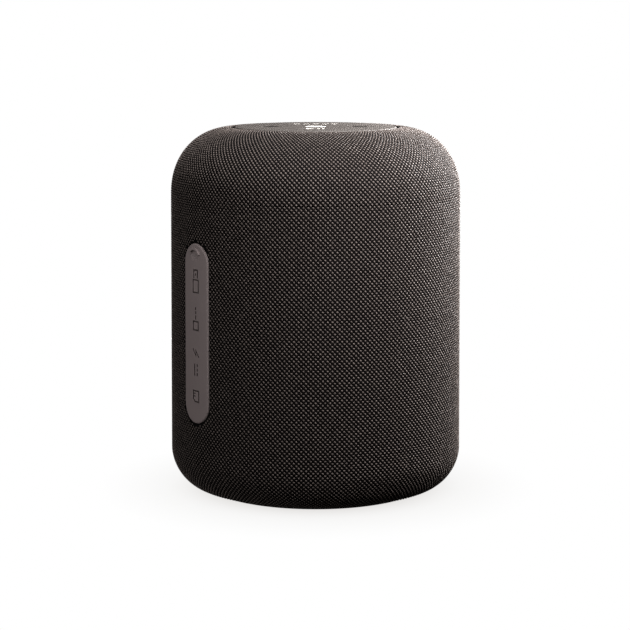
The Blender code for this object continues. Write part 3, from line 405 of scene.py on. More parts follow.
def finished(obj, finish, body, replaces=()):
    """Settles a piece: its place goes into its mesh, it gets its finish, and it rides on a named body."""
    obj.data.transform(obj.matrix_world)
    obj.matrix_world = Matrix.Identity(4)
    if finish:
        obj.data.materials.clear()
        obj.data.materials.append(finish.material)
    if body:
        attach(obj, body)
    if replaces:
        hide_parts(*replaces)
    return obj


def from_points(name, points, faces, smooth=True):
    mesh = bpy.data.meshes.new(name)
    mesh.from_pydata([tuple(p) for p in points], [], faces)
    mesh.update()
    if smooth:
        mesh.shade_smooth()
    obj = bpy.data.objects.new(name, mesh)
    bpy.context.scene.collection.objects.link(obj)
    return obj


MERGE = 0.002 * MM


def mend(obj, sharp=None):
    """Merges doubled points and turns the faces outwards."""
    work = bmesh.new()
    work.from_mesh(obj.data)
    bmesh.ops.remove_doubles(work, verts=work.verts, dist=MERGE)
    bmesh.ops.dissolve_degenerate(work, edges=work.edges, dist=MERGE / 10)
    bmesh.ops.recalc_face_normals(work, faces=work.faces)
    work.to_mesh(obj.data)
    work.free()
    obj.data.shade_smooth()
    if sharp:
        obj.data.set_sharp_from_angle(angle=math.radians(sharp))
    return obj


def flattened(obj):
    """The same shape with each flat area as one face, so that it cuts cleanly."""
    work = bmesh.new()
    work.from_mesh(obj.data)
    bmesh.ops.dissolve_limit(work, angle_limit=math.radians(0.5), verts=work.verts, edges=work.edges)
    work.to_mesh(obj.data)
    work.free()
    return obj


def as_plain_mesh(obj):
    """The object with its modifiers carried out, as a plain mesh object."""
    bpy.context.view_layer.update()
    graph = bpy.context.evaluated_depsgraph_get()
    mesh = bpy.data.meshes.new_from_object(obj.evaluated_get(graph), depsgraph=graph)
    title = obj.name
    made = bpy.data.objects.new(title, mesh)
    made.matrix_world = obj.matrix_world.copy()
    bpy.data.objects.remove(obj)
    bpy.context.scene.collection.objects.link(made)
    made.name = title
    return made


def turned(name, line, steps=ROUND, at=(0, 0, 0)):
    """A closed turned shape from its section, as (radius, height) points that run down outside and up inside.

    Its UV map counts columns of nubs round it and pairs of rows along the section."""
    count = len(line)
    angles = np.linspace(0, 2 * math.pi, steps, endpoint=False)
    points = [
        (at[0] + r * math.cos(a), at[1] + r * math.sin(a), at[2] + z) for a in angles for r, z in line
    ]
    faces, corners = [], []
    steps_along = [math.dist(line[i], line[i - 1]) for i in range(1, count)]
    measure = np.concatenate([[0], np.cumsum(steps_along)]) / ROW_PAIR
    for i in range(steps):
        j = (i + 1) % steps
        left, right = COLUMNS * i / steps, COLUMNS * (i + 1) / steps
        for k in range(count):
            m = (k + 1) % count
            faces.append((i * count + k, i * count + m, j * count + m, j * count + k))
            low, high = measure[k], measure[m] if m else measure[k]
            corners += [(left, low), (left, high), (right, high), (right, low)]
    obj = from_points(name, points, faces)
    layer = obj.data.uv_layers.new(name="UVMap")
    layer.data.foreach_set("uv", np.array(corners, np.float32).ravel())
    return obj


def rounded_line(line, radius, steps=4):
    """Rounds the corners of a section. radius is one size, or one for each point, with None if sharp."""
    radii = radius if isinstance(radius, (list, tuple)) else [radius] * len(line)
    out = []
    for i, point in enumerate(line):
        if not radii[i] or point[0] < 1e-6:
            out.append(point)
            continue
        here = Vector(point)
        before, after = Vector(line[i - 1]) - here, Vector(line[(i + 1) % len(line)]) - here
        reach = min(radii[i], before.length * 0.49, after.length * 0.49)
        start, end = here + before.normalized() * reach, here + after.normalized() * reach
        for step in range(steps + 1):
            t = step / steps
            out.append(tuple((1 - t) ** 2 * start + 2 * t * (1 - t) * here + t**2 * end))
    return out


def cut(obj, cutter):
    change = obj.modifiers.new("cut", "BOOLEAN")
    change.solver = "EXACT"
    change.material_mode = "TRANSFER"
    change.object = cutter
    made = as_plain_mesh(obj)
    bpy.data.objects.remove(cutter)
    return made


def stadium(width, length, points=24, straight=1):
    """The outline of a slot with round ends, long way up, as (across, up) points that run anticlockwise."""
    radius, half = width / 2, (length - width) / 2
    arc = [math.pi * i / points for i in range(points + 1)]
    top = [(radius * math.cos(a), half + radius * math.sin(a)) for a in arc]
    sides = [(-radius, half - 2 * half * i / straight) for i in range(1, straight)]
    half_way = top + sides
    return half_way + [(-y, -z) for y, z in half_way]


def prism(name, outline, low, high, across=Vector((1, 0, 0)), up=Vector((0, 1, 0)), at=Vector((0, 0, 0))):
    """An outline pushed along its normal, from low to high."""
    normal = across.cross(up)
    points = [at + across * u + up * v + normal * h for h in (low, high) for u, v in outline]
    count = len(outline)
    faces = [tuple(range(count))[::-1], tuple(range(count, 2 * count))]
    faces += [(i, (i + 1) % count, count + (i + 1) % count, count + i) for i in range(count)]
    return from_points(name, points, faces, smooth=False)


def joined(name, objs):
    """Several mesh objects as one."""
    work = bmesh.new()
    for obj in objs:
        obj.data.transform(obj.matrix_world)
        work.from_mesh(obj.data)
        bpy.data.objects.remove(obj)
    mesh = bpy.data.meshes.new(name)
    work.to_mesh(mesh)
    work.free()
    made = bpy.data.objects.new(name, mesh)
    bpy.context.scene.collection.objects.link(made)
    return made


# The port side's own directions: outwards, and sideways to the right as seen from outside
OUT = Vector((math.cos(PORT_ANGLE), math.sin(PORT_ANGLE), 0))
SIDE = Vector((-OUT.y, OUT.x, 0))
UP = Vector((0, 0, 1))


# ---------------------------------------------------------------- repeated pieces


class Recipe:
    """A Geometry Nodes group with named inputs, carried out on a mesh and turned into a plain one."""

    def __init__(self, name, inputs):
        self.tree = bpy.data.node_groups.new(name, "GeometryNodeTree")
        face = self.tree.interface
        face.new_socket("Geometry", in_out="INPUT", socket_type="NodeSocketGeometry")
        face.new_socket("Geometry", in_out="OUTPUT", socket_type="NodeSocketGeometry")
        self.keys = {
            title: face.new_socket(title, in_out="INPUT", socket_type=kind).identifier
            for title, kind in inputs.items()
        }
        self.inlet = self.tree.nodes.new("NodeGroupInput")
        self.outlet = self.tree.nodes.new("NodeGroupOutput")

    def given(self, title):
        return self.inlet.outputs[title]

    def node(self, kind, settings=None, values=None, out=0):
        made = self.tree.nodes.new(kind)
        for name, setting in (settings or {}).items():
            setattr(made, name, setting)
        for name, value in (values or {}).items():
            if isinstance(value, bpy.types.NodeSocket):
                self.tree.links.new(value, made.inputs[name])
            else:
                made.inputs[name].default_value = value
        return made.outputs[out]

    def end(self, geometry, finish):
        """Every recipe ends in real faces with their material."""
        real = self.node("GeometryNodeRealizeInstances", values={0: geometry})
        painted = self.node("GeometryNodeSetMaterial", values={0: real, "Material": finish})
        self.tree.links.new(painted, self.outlet.inputs[0])

    def carry_out(self, obj, values):
        modifier = obj.modifiers.new("recipe", "NODES")
        modifier.node_group = self.tree
        for title, value in values.items():
            modifier[self.keys[title]] = value
        return as_plain_mesh(obj)


def nub_recipe():
    """Puts a yarn nub on each point, lying along the point's long way and facing its outward way."""
    recipe = Recipe("yarn_nubs", {
        "Length": "NodeSocketFloat", "Width": "NodeSocketFloat", "Height": "NodeSocketFloat",
        "Unevenness": "NodeSocketFloat", "Seed": "NodeSocketInt", "Yarn": "NodeSocketMaterial",
    })
    node, given = recipe.node, recipe.given
    vector = {"data_type": "FLOAT_VECTOR"}
    number = {"data_type": "FLOAT"}

    def own(name, settings):
        return node("GeometryNodeInputNamedAttribute", settings, {"Name": name})

    nub = node("GeometryNodeMeshIcoSphere", values={"Radius": 0.5, "Subdivisions": 1})
    soft = node("GeometryNodeSetShadeSmooth", values={0: nub, "Shade Smooth": True})
    facing = node("FunctionNodeAxesToRotation", {"primary_axis": "Z", "secondary_axis": "X"},
                  {"Primary Axis": own("out", vector), "Secondary Axis": own("long_way", vector)})
    size = own("size", number)
    low = node("ShaderNodeMath", {"operation": "SUBTRACT"}, {0: 1.0, 1: given("Unevenness")})
    high = node("ShaderNodeMath", {"operation": "ADD"}, {0: 1.0, 1: given("Unevenness")})
    uneven = node("FunctionNodeRandomValue", number, {2: low, 3: high, "Seed": given("Seed")}, out=1)
    scale = node("ShaderNodeMath", {"operation": "MULTIPLY"}, {0: size, 1: uneven})
    sizes = node("ShaderNodeCombineXYZ", values={0: given("Length"), 1: given("Width"), 2: given("Height")})
    scaled = node("ShaderNodeVectorMath", {"operation": "SCALE"}, {0: sizes, "Scale": scale})
    placed = node("GeometryNodeInstanceOnPoints",
                  values={"Points": given("Geometry"), "Instance": soft, "Rotation": facing, "Scale": scaled})
    shade = node("FunctionNodeRandomValue", number, {2: 0.0, 3: 1.0, "Seed": 7}, out=1)
    shaded = node("GeometryNodeStoreNamedAttribute", {**number, "domain": "INSTANCE"},
                  {0: placed, "Name": "shade", "Value": shade})
    recipe.end(shaded, given("Yarn"))
    return recipe


NUBS = nub_recipe()


def nubs(name, places, outs, ways, sizes, length=NUB_LENGTH, width=NUB_WIDTH, height=NUB_HEIGHT, seed=1):
    """A piece of yarn nubs, from each one's place, outward way, long way and size."""
    mesh = bpy.data.meshes.new(name)
    mesh.vertices.add(len(places))
    mesh.vertices.foreach_set("co", np.asarray(places, np.float32).ravel())
    for title, values in (("out", outs), ("long_way", ways)):
        layer = mesh.attributes.new(title, "FLOAT_VECTOR", "POINT")
        layer.data.foreach_set("vector", np.asarray(values, np.float32).ravel())
    layer = mesh.attributes.new("size", "FLOAT", "POINT")
    layer.data.foreach_set("value", np.asarray(sizes, np.float32))
    obj = bpy.data.objects.new(name, mesh)
    bpy.context.scene.collection.objects.link(obj)
    made = NUBS.carry_out(obj, {"Length": length, "Width": width, "Height": height, "Unevenness": 0.03,
                                "Seed": seed, "Yarn": YARN.material})
    return finished(made, None, "housing")


# ---------------------------------------------------------------- the cloth


def corner(inner_r, seam_z, reach_r, reach_z, power):
    """The line of a rounded corner, from its inner edge to its seam, with even steps."""
    turn = np.linspace(0, math.pi / 2, 400)
    r = inner_r + reach_r * np.sin(turn) ** (2 / power)
    z = seam_z + reach_z * np.clip(np.cos(turn), 0, 1) ** (2 / power)
    length = np.concatenate([[0], np.cumsum(np.hypot(np.diff(r), np.diff(z)))])
    even = np.linspace(0, length[-1], 28)
    return list(zip(np.interp(even, length, r), np.interp(even, length, z)))


def offset(line, inwards):
    """The same line moved to its inner side. Lines run outwards and down, or up, from the axis."""
    points = np.array(line)
    along = np.gradient(points, axis=0)
    along /= np.linalg.norm(along, axis=1)[:, None]
    down = points[-1][1] < points[0][1]
    normal = np.stack([-along[:, 1], along[:, 0]], 1) * (1 if down else -1)
    normal[0], normal[-1] = (0, 1 if down else -1), (1, 0)
    return [tuple(p) for p in points - normal * inwards]


def cloth_shell(name, line, turned_in):
    """A cloth cover from its outer line: a thin shell with both of its edges rolled in."""
    outer = offset(line, GROUND_SET_IN)
    inner = offset(line, CLOTH_THICKNESS)
    if line[0][1] < line[-1][1]:
        outer, inner = outer[::-1], inner[::-1]
    section = rounded_line(outer + inner[::-1],
                           [turned_in if i in (0, len(outer) - 1) else None for i in range(len(outer) * 2)])
    return turned(name, section)


top_line = corner(TOP_INNER_R, TOP_SEAM_Z, BODY_R - TOP_INNER_R, TOP_Z - TOP_SEAM_Z, TOP_POWER)
top_line[-1] = (BODY_R, TOP_SEAM_Z + EDGE_GAP / 2)
BOTTOM_REACH = BODY_R - BOTTOM_INNER_R
bottom_line = corner(BOTTOM_INNER_R, BOTTOM_SEAM_Z, BOTTOM_REACH, BOTTOM_Z - BOTTOM_SEAM_Z, BOTTOM_POWER)
bottom_line[-1] = (BODY_R, BOTTOM_SEAM_Z - EDGE_GAP / 2)
bottom_line = [(r + FLARE * (r - BOTTOM_INNER_R) / BOTTOM_REACH, z) for r, z in bottom_line]
side_heights = np.linspace(TOP_SEAM_Z - EDGE_GAP / 2, BOTTOM_SEAM_Z + EDGE_GAP / 2, 12)
side_line = [(BODY_R + flare(z), z) for z in side_heights]

ROLL = 0.45 * MM
top_cover = cloth_shell("top_cover_cloth", top_line, ROLL)
finished(top_cover, GROUND, "housing", ["top_cloth"])
bottom_cover = cloth_shell("bottom_cover_cloth", bottom_line, ROLL)
finished(bottom_cover, GROUND, "housing", ["bottom_cloth"])

outer_side = [(r - GROUND_SET_IN, z) for r, z in side_line]
inner_side = [(r - CLOTH_THICKNESS, z) for r, z in side_line]
section = rounded_line(outer_side + inner_side[::-1],
                       [ROLL if i in (0, len(outer_side) - 1) else None for i in range(len(outer_side) * 2)])
sleeve = turned("sleeve_cloth", section)
window = prism("window", stadium(WINDOW_WIDTH, WINDOW_LENGTH), BODY_R - 8 * MM, BODY_R + 8 * MM, SIDE, UP,
               UP * COVER_MIDDLE_Z)
sleeve = cut(sleeve, window)
finished(sleeve, GROUND, "housing", ["body_cloth"])


def whole_line():
    """One line from the panel's edge to the base, with the distance along it, its slope and its radius."""
    points = top_line + side_line[1:-1] + bottom_line[::-1]
    points = np.array(points)
    length = np.concatenate([[0], np.cumsum(np.hypot(*np.diff(points, axis=0).T))])
    return points, length


def lattice():
    """Every nub's place, its outward way, its long way and its size, row by row from the top."""
    points, length = whole_line()
    half = ROW_PAIR / 2
    seam_at = np.interp(-TOP_SEAM_Z, -points[:, 1], length)
    first = seam_at % half
    rows = np.arange(first + half * 0.5, length[-1] - 0.4 * MM, half)
    seam_low = np.interp(-BOTTOM_SEAM_Z, -points[:, 1], length)
    found = []
    for index, s in enumerate(rows):
        r, z = np.interp(s, length, points[:, 0]), np.interp(s, length, points[:, 1])
        ahead = np.array([np.interp(s + 0.2 * MM, length, points[:, i]) for i in (0, 1)])
        behind = np.array([np.interp(s - 0.2 * MM, length, points[:, i]) for i in (0, 1)])
        down = (ahead - behind) / np.linalg.norm(ahead - behind)
        out = (-down[1], down[0])
        part = "top" if s < seam_at else "sleeve" if s < seam_low else "bottom"
        for column in range(COLUMNS):
            angle = 2 * math.pi * (column + 0.5 * (index % 2)) / COLUMNS
            found.append((part, index, angle, r, z, out, down))
    return found


def cover_distance(angle, z):
    """How far a place on the side lies outside the port cover's outline. It is negative inside it."""
    turn = (angle - PORT_ANGLE + math.pi) % (2 * math.pi) - math.pi
    across, up = turn * BODY_R, z - COVER_MIDDLE_Z
    half = (COVER_LENGTH - COVER_WIDTH) / 2
    return math.hypot(across, up - max(-half, min(half, up))) - COVER_WIDTH / 2


BACK = math.pi / 2
BACK_SEAM = 0.9 * MM
UPPER_FROM, MIDDLE_FROM = 73.0 * MM, 43.5 * MM


def batch(part, z):
    """The piece that a nub goes to: the sleeve's nubs are in three pieces, from its top to its foot."""
    if part != "sleeve":
        return part
    return "sleeve_upper" if z > UPPER_FROM else "sleeve_middle" if z > MIDDLE_FROM else "sleeve_lower"


batches = {}
for part, index, angle, r, z, (out_r, out_z), (down_r, down_z) in lattice():
    if part == "sleeve" and cover_distance(angle, z) < EDGE_GAP + 0.45 * MM:
        continue
    if part == "sleeve" and abs(angle - BACK) * BODY_R < BACK_SEAM:
        continue
    c, s = math.cos(angle), math.sin(angle)
    out = (out_r * c, out_r * s, out_z)
    lean = math.atan2(ROW_PAIR, 2 * math.pi * r / COLUMNS)
    ca, sa = math.cos(lean), math.sin(lean)
    down = (down_r * c, down_r * s, down_z)
    way = (-s * ca + down[0] * sa, c * ca + down[1] * sa, down[2] * sa)
    sink = NUB_HEIGHT / 2
    place = ((r - out_r * sink) * c, (r - out_r * sink) * s, z - out_z * sink)
    size = (r / BODY_R) ** 0.6
    batches.setdefault(batch(part, z), []).append((place, out, way, size))

for key, found in sorted(batches.items()):
    places, outs, ways, sizes = zip(*found)
    nubs(f"{key}_nubs", places, outs, ways, sizes)


# The seam down the back of the sleeve: two turned hems, drawn together by short stitches
def seam_hem(name, side):
    """A thin roll of cloth along the seam, from its lower end to its upper one."""
    radius, start = 0.42 * MM, BACK + side * 0.5 * MM / BODY_R
    heights = np.linspace(BOTTOM_SEAM_Z + EDGE_GAP, TOP_SEAM_Z - EDGE_GAP, 40)
    turns = [2 * math.pi * k / 8 for k in range(8)]
    points = []
    for z in heights:
        wobble = 0.03 * MM * math.sin(z * 2300 + side)
        r, a = BODY_R + flare(z) - 0.28 * MM + wobble, start
        centre = Vector((r * math.cos(a), r * math.sin(a), z))
        out, across = Vector((math.cos(a), math.sin(a), 0)), Vector((-math.sin(a), math.cos(a), 0))
        points += [centre + (out * math.cos(t) + across * math.sin(t)) * radius for t in turns]
    count = len(heights)
    faces = [(i * 8 + k, i * 8 + (k + 1) % 8, (i + 1) * 8 + (k + 1) % 8, (i + 1) * 8 + k)
             for i in range(count - 1) for k in range(8)]
    faces += [tuple(range(8))[::-1], tuple(range((count - 1) * 8, count * 8))]
    return finished(mend(from_points(name, points, faces)), GROUND, "housing")


seam_hem("back_hem_left", -1)
seam_hem("back_hem_right", 1)
STITCH_PITCH, STITCH_SLANT = 2.1 * MM, 0.35
stitch_heights = np.arange(BOTTOM_SEAM_Z + 1.2 * MM, TOP_SEAM_Z - 1.0 * MM, STITCH_PITCH)
stitch_r = [BODY_R + flare(z) + 0.02 * MM for z in stitch_heights]
stitch_count = len(stitch_heights)
stitches = [(r * math.cos(BACK), r * math.sin(BACK), z) for r, z in zip(stitch_r, stitch_heights)]
nubs("back_seam_stitches", stitches, [(math.cos(BACK), math.sin(BACK), 0)] * stitch_count,
     [(-math.sin(BACK), math.cos(BACK), STITCH_SLANT)] * stitch_count, [1.0] * stitch_count,
     length=STITCH_PITCH, width=0.42 * MM, height=0.5 * MM, seed=5)


# ---------------------------------------------------------------- control panel and keys

PANEL_Z = panel_low.z
PANEL_EDGE = 0.5 * MM
KEY_EDGE = 0.16 * MM
KEY_GAP = 0.12 * MM
MARK_PROUD, MARK_SUNK = 0.03 * MM, 0.15 * MM


def key_centre(name):
    low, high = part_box(name)
    return Vector(((low.x + high.x) / 2, (low.y + high.y) / 2, high.z))


def key_opening(centre, radius):
    angles = np.linspace(0, 2 * math.pi, 72, endpoint=False)
    ring = [(radius * math.cos(a), radius * math.sin(a)) for a in angles]
    return prism("opening", ring, -3 * MM, 1 * MM, at=centre)


KEYS = {"power_key": 3.5 * MM, "plus_key": 4.6 * MM, "minus_key": 4.6 * MM, "play_key": 4.6 * MM}
panel_line = rounded_line(
    [(0, TOP_Z), (PANEL_R, TOP_Z), (PANEL_R, PANEL_Z), (0, PANEL_Z)],
    [None, PANEL_EDGE, 0.2 * MM, None], 5)
panel = flattened(mend(turned("panel", panel_line)))
openings = [key_opening(key_centre(name), radius + EDGE_GAP) for name, radius in KEYS.items()]

BAR_LENGTH, BAR_WIDTH, BAR_GAP, BARS = 2.4 * MM, 1.5 * MM, 0.9 * MM, 5
light_low, light_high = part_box("light_bar")
LIGHTS_Y = (light_low.y + light_high.y) / 2
bar_starts = [(i - (BARS - 1) / 2) * (BAR_LENGTH + BAR_GAP) for i in range(BARS)]


def light_bars(name, grow, low, high):
    """The five small lights' shapes, grown by a gap where they are the openings in the panel."""
    bars = []
    for i, x in enumerate(bar_starts):
        outline = stadium(BAR_WIDTH + 2 * grow, BAR_LENGTH + 2 * grow, 10)
        place = Vector((x, LIGHTS_Y, TOP_Z))
        bars.append(prism(f"{name}_{i}", [(v, -u) for u, v in outline], low, high, at=place))
    return joined(name, bars)


openings.append(light_bars("light_openings", 0.08 * MM, -3 * MM, 1 * MM))
panel = cut(panel, joined("openings", openings))
panel.name = "panel_disc"
mend(panel, sharp=35)
finished(panel, PANEL, "housing", ["control_panel"])
lights = light_bars("battery_lights", 0, -1.2 * MM, 0.02 * MM)
edge = lights.modifiers.new("edge", "BEVEL")
edge.width, edge.segments, edge.limit_method = 0.12 * MM, 2, "ANGLE"
lights = as_plain_mesh(lights)
finished(mend(lights, sharp=50), PRINT, "housing", ["light_bar"])


FLANGE_WIDTH, FLANGE_TOP, FLANGE_FOOT, STEM_R = 0.8 * MM, -1.75 * MM, -2.25 * MM, 1.5 * MM


def key_cap(name, radius, finish, dish):
    """A key's cap, a little dished (or domed) on top, with its flange and stem below."""
    centre = key_centre(name)
    low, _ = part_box(name)
    stem_end, flange = low.z - centre.z, radius + FLANGE_WIDTH
    line = [(0, -dish)] + [(radius * t, -dish * (1 - t**2)) for t in (0.25, 0.5, 0.72, 0.88)]
    line += [(radius, 0), (radius, FLANGE_TOP), (flange, FLANGE_TOP), (flange, FLANGE_FOOT),
             (STEM_R, FLANGE_FOOT), (STEM_R, stem_end), (0, stem_end)]
    radii = [None] * 5 + [KEY_EDGE, None, 0.1 * MM, 0.1 * MM, None, 0.1 * MM, None]
    cap = turned(f"{name}_cap", rounded_line(line, radii, 4), 96, centre)
    finished(mend(cap, sharp=40), finish, name, [name])
    return centre


def strip(path, width, closed=False):
    """The left and right edges of a line with a width, mitred at its corners."""
    count = len(path)
    left, right = [], []
    for i, (x, y) in enumerate(path):
        before = path[i - 1] if i or closed else None
        after = path[(i + 1) % count] if i < count - 1 or closed else None
        ways = [(Vector((x, y)) - Vector(before)).normalized()] if before else []
        ways += [(Vector(after) - Vector((x, y))).normalized()] if after else []
        along = sum(ways, Vector((0, 0))).normalized()
        normal = Vector((-along.y, along.x))
        reach = width / 2 / max(0.45, abs(normal.dot(Vector((-ways[0].y, ways[0].x)))))
        left.append((x + normal.x * reach, y + normal.y * reach))
        right.append((x - normal.x * reach, y - normal.y * reach))
    return left, right


def strip_solid(name, path, width, low, high, placed, closed=False):
    """A line with a width and a thickness, laid on a surface by a function of (x, y, height)."""
    left, right = strip(path, width, closed)
    count = len(path)
    points = [placed(*p, h) for h in (low, high) for side in (left, right) for p in side]
    faces = []
    for i in range(count if closed else count - 1):
        j = (i + 1) % count
        a, b, c, d = i, j, count + j, count + i
        faces += [(a, b, c, d), (a + 2 * count, d + 2 * count, c + 2 * count, b + 2 * count),
                  (a, a + 2 * count, b + 2 * count, b), (d, c, c + 2 * count, d + 2 * count)]
    if not closed:
        last = count - 1
        faces += [(0, count, 3 * count, 2 * count),
                  (last, last + 2 * count, last + 3 * count, last + count)]
    return mend(from_points(name, points, faces, smooth=False), sharp=30)


def filled(name, outlines, key, finish):
    """A printed mark of filled shapes on a key."""
    centre = key_centre(key)
    solids = [prism(f"{name}_{i}", outline, -MARK_SUNK, MARK_PROUD, at=centre)
              for i, outline in enumerate(outlines)]
    return finished(mend(joined(name, solids), sharp=30), finish, key)


DISH = 0.12 * MM
key_cap("power_key", KEYS["power_key"] + EDGE_GAP - KEY_GAP, WHITE, -0.1 * MM)
for name in ("plus_key", "minus_key", "play_key"):
    key_cap(name, KEYS[name] + EDGE_GAP - KEY_GAP, PANEL, DISH)

def bar(half_wide, half_tall, x=0.0):
    """A bar's outline about the key's centre, moved sideways by x."""
    return [(x + half_wide, half_tall), (x - half_wide, half_tall),
            (x - half_wide, -half_tall), (x + half_wide, -half_tall)]


def cross(arm, half):
    """A cross's outline: its arms' reach, and half of their width."""
    return [(half, arm), (-half, arm), (-half, half), (-arm, half), (-arm, -half), (-half, -half),
            (-half, -arm), (half, -arm), (half, -half), (arm, -half), (arm, half), (half, half)]


ARM, HALF_STROKE = 2.5 * MM, 0.55 * MM
filled("plus_mark", [cross(ARM, HALF_STROKE)], "plus_key", INK)
filled("minus_mark", [bar(ARM, HALF_STROKE)], "minus_key", INK)
PLAY_HALF_TALL = 1.1 * MM
play = [(-3.3 * MM, PLAY_HALF_TALL), (-3.3 * MM, -PLAY_HALF_TALL), (-0.7 * MM, 0)]
pause = [bar(0.42 * MM, PLAY_HALF_TALL, x) for x in (1.0 * MM, 2.6 * MM)]
filled("play_mark", [play] + pause, "play_key", PRINT)


# ---------------------------------------------------------------- port cover


def cover_point(across, up, drop=0.0):
    """A place on the port cover's face, from its middle line and its height, or some way under that face."""
    radius = COVER_R + flare(up) - drop
    return OUT * math.sqrt(radius**2 - across**2) + SIDE * across + UP * up


def cover_skin():
    """The cover's closed skin, in rings from the middle of its back, round its rolled edge, to its face."""
    roll = 0.6 * MM
    section = [(COVER_WIDTH / 2, COVER_PLATE), (4.0 * MM, COVER_PLATE), (0.35 * MM, COVER_PLATE),
               (0.08 * MM, COVER_PLATE - 0.1 * MM), (0.0, COVER_PLATE - 0.35 * MM)]
    section += [(roll * (1 - math.cos(t)), roll * (1 - math.sin(t))) for t in np.linspace(0, math.pi / 2, 7)]
    section += [(inset * MM, 0.0) for inset in (1.1, 2.0, 3.2, 4.6, 6.0)] + [(COVER_WIDTH / 2, 0.0)]
    points, faces, count = [], [], 0
    for inset, drop in section:
        ring = stadium(COVER_WIDTH - 2 * inset, COVER_LENGTH - 2 * inset, 32, 48)
        count = len(ring)
        points += [cover_point(u, COVER_MIDDLE_Z + v, drop) for u, v in ring]
    for k in range(len(section) - 1):
        for i in range(count):
            j = (i + 1) % count
            faces.append((k * count + i, k * count + j, (k + 1) * count + j, (k + 1) * count + i))
    return mend(from_points("cover", points, faces), sharp=40)


LIP_Z, LIP_TILT, LIP_HALF, LIP_RISE = 86.2 * MM, math.radians(-10), 2.75 * MM, 1.5 * MM


def lip_place(x, y, height):
    """A place about the pull lip's middle, which is turned a little on the cover."""
    c, s = math.cos(LIP_TILT), math.sin(LIP_TILT)
    return cover_point(x * c - y * s, LIP_Z + x * s + y * c, -height)


# The scoop under the lip, where a thumb nail goes in
SCOOP_HALF_SIZE = (2.5 * MM, 1.9 * MM, 0.85 * MM)
SCOOP_BELOW_LIP, SCOOP_LIFT = 1.3 * MM, 0.15 * MM
cover = cover_skin()
cover.data.materials.append(COVER.material)
scoop = from_points("scoop", [], [])
work = bmesh.new()
bmesh.ops.create_uvsphere(work, u_segments=32, v_segments=16, radius=1.0)
for vert in work.verts:
    wide, tall, deep = (share * size for share, size in zip(vert.co, SCOOP_HALF_SIZE))
    vert.co = lip_place(wide, tall - SCOOP_BELOW_LIP, deep + SCOOP_LIFT)
bmesh.ops.recalc_face_normals(work, faces=work.faces)
work.to_mesh(scoop.data)
work.free()
scoop.data.materials.append(COVER.material)
cover = cut(cover, scoop)

# Each pictogram: its height on the cover and its lines, as (points, closed) pairs. Points and heights are in
# millimetres, and each point is up the cover and to its side.
ENGRAVED_DEPTH, ENGRAVED_STROKE, PICTOGRAM_ACROSS = 0.28 * MM, 0.52, 0.4 * MM
PICTOGRAMS = {
    "memory_stick": (76.3, [
        ([(-3.8, -1.5), (0.4, -1.5), (0.4, 1.5), (-3.8, 1.5)], True),
        ([(1.0, 1.05), (3.7, 1.05), (3.7, -1.05), (1.0, -1.05)], False),
        ([(1.9, 0.0), (2.6, 0.0)], False),
    ]),
    "audio_plug": (63.6, [
        ([(-3.8, -1.4), (-0.9, -1.4), (-0.9, 1.4), (-3.8, 1.4)], True),
        ([(-0.3, 0.0), (1.2, 0.0)], False), ([(1.6, 0.0), (2.6, 0.0)], False),
        ([(3.0, 0.0), (3.9, 0.0)], False),
    ]),
    "direct_current": (49.1, [
        ([(-4.8, 0.75), (-0.7, 0.75)], False), ([(-4.8, -0.75), (-3.8, -0.75)], False),
        ([(-3.25, -0.75), (-2.25, -0.75)], False), ([(-1.7, -0.75), (-0.7, -0.75)], False),
        ([(4.2, 1.7), (1.9, -0.05), (3.9, 0.05), (1.6, -1.7)], False),
    ]),
    "memory_card": (37.3, [
        ([(-1.85, -1.55), (1.85, -1.55), (1.85, 1.55), (-0.85, 1.55), (-1.85, 0.6)], True),
        ([(0.0, 0.35), (0.0, 0.95)], False), ([(0.95, 0.35), (0.95, 0.95)], False),
    ]),
}


def pictogram(title, height, paths):
    """The solids that carve one pictogram into the cover."""
    def placed(a, b, h):
        return cover_point(PICTOGRAM_ACROSS - b * MM, height * MM + a * MM, -h)
    return [strip_solid(f"{title}_{i}", path, ENGRAVED_STROKE, -ENGRAVED_DEPTH, 0.5 * MM, placed, closed)
            for i, (path, closed) in enumerate(paths)]


carvers = []
for title, (height, paths) in PICTOGRAMS.items():
    carvers += pictogram(title, height, paths)
carver = joined("carver", carvers)
# The carved walls and floors get the darker silicone, as painted shade.
carver.data.materials.append(ENGRAVED_PAINTED_SHADE.material)
cover = cut(cover, carver)

# The pull lip: a low arched ridge over the scoop
lip_path = [(LIP_HALF * t, LIP_RISE * (1 - abs(t) ** 2.2) - 0.6 * MM) for t in np.linspace(-1, 1, 15)]
lip = strip_solid("lip", lip_path, 0.95 * MM, -0.4 * MM, 0.5 * MM, lip_place)
edge = lip.modifiers.new("edge", "BEVEL")
edge.width, edge.segments, edge.limit_method, edge.angle_limit = 0.22 * MM, 3, "ANGLE", math.radians(35)
lip = mend(as_plain_mesh(lip), sharp=60)
lip.data.materials.append(COVER.material)


def rounded_box(name, low, high, edge_size):
    """A box between two corners, given outwards, sideways and upwards at the ports, with rounded edges."""
    outline = [(low[1], low[2]), (high[1], low[2]), (high[1], high[2]), (low[1], high[2])]
    made = prism(name, outline, low[0], high[0], SIDE, UP)
    edge = made.modifiers.new("edge", "BEVEL")
    edge.width, edge.segments = edge_size, 2
    return mend(as_plain_mesh(made), sharp=50)


def port_box(name):
    """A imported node's corners, given outwards, sideways and upwards at the ports."""
    turn = Matrix((OUT, SIDE, UP))
    places = [turn @ vertex.co for vertex in frame["nodes"][name].data.vertices]
    return [min(p[i] for p in places) for i in range(3)], [max(p[i] for p in places) for i in range(3)]


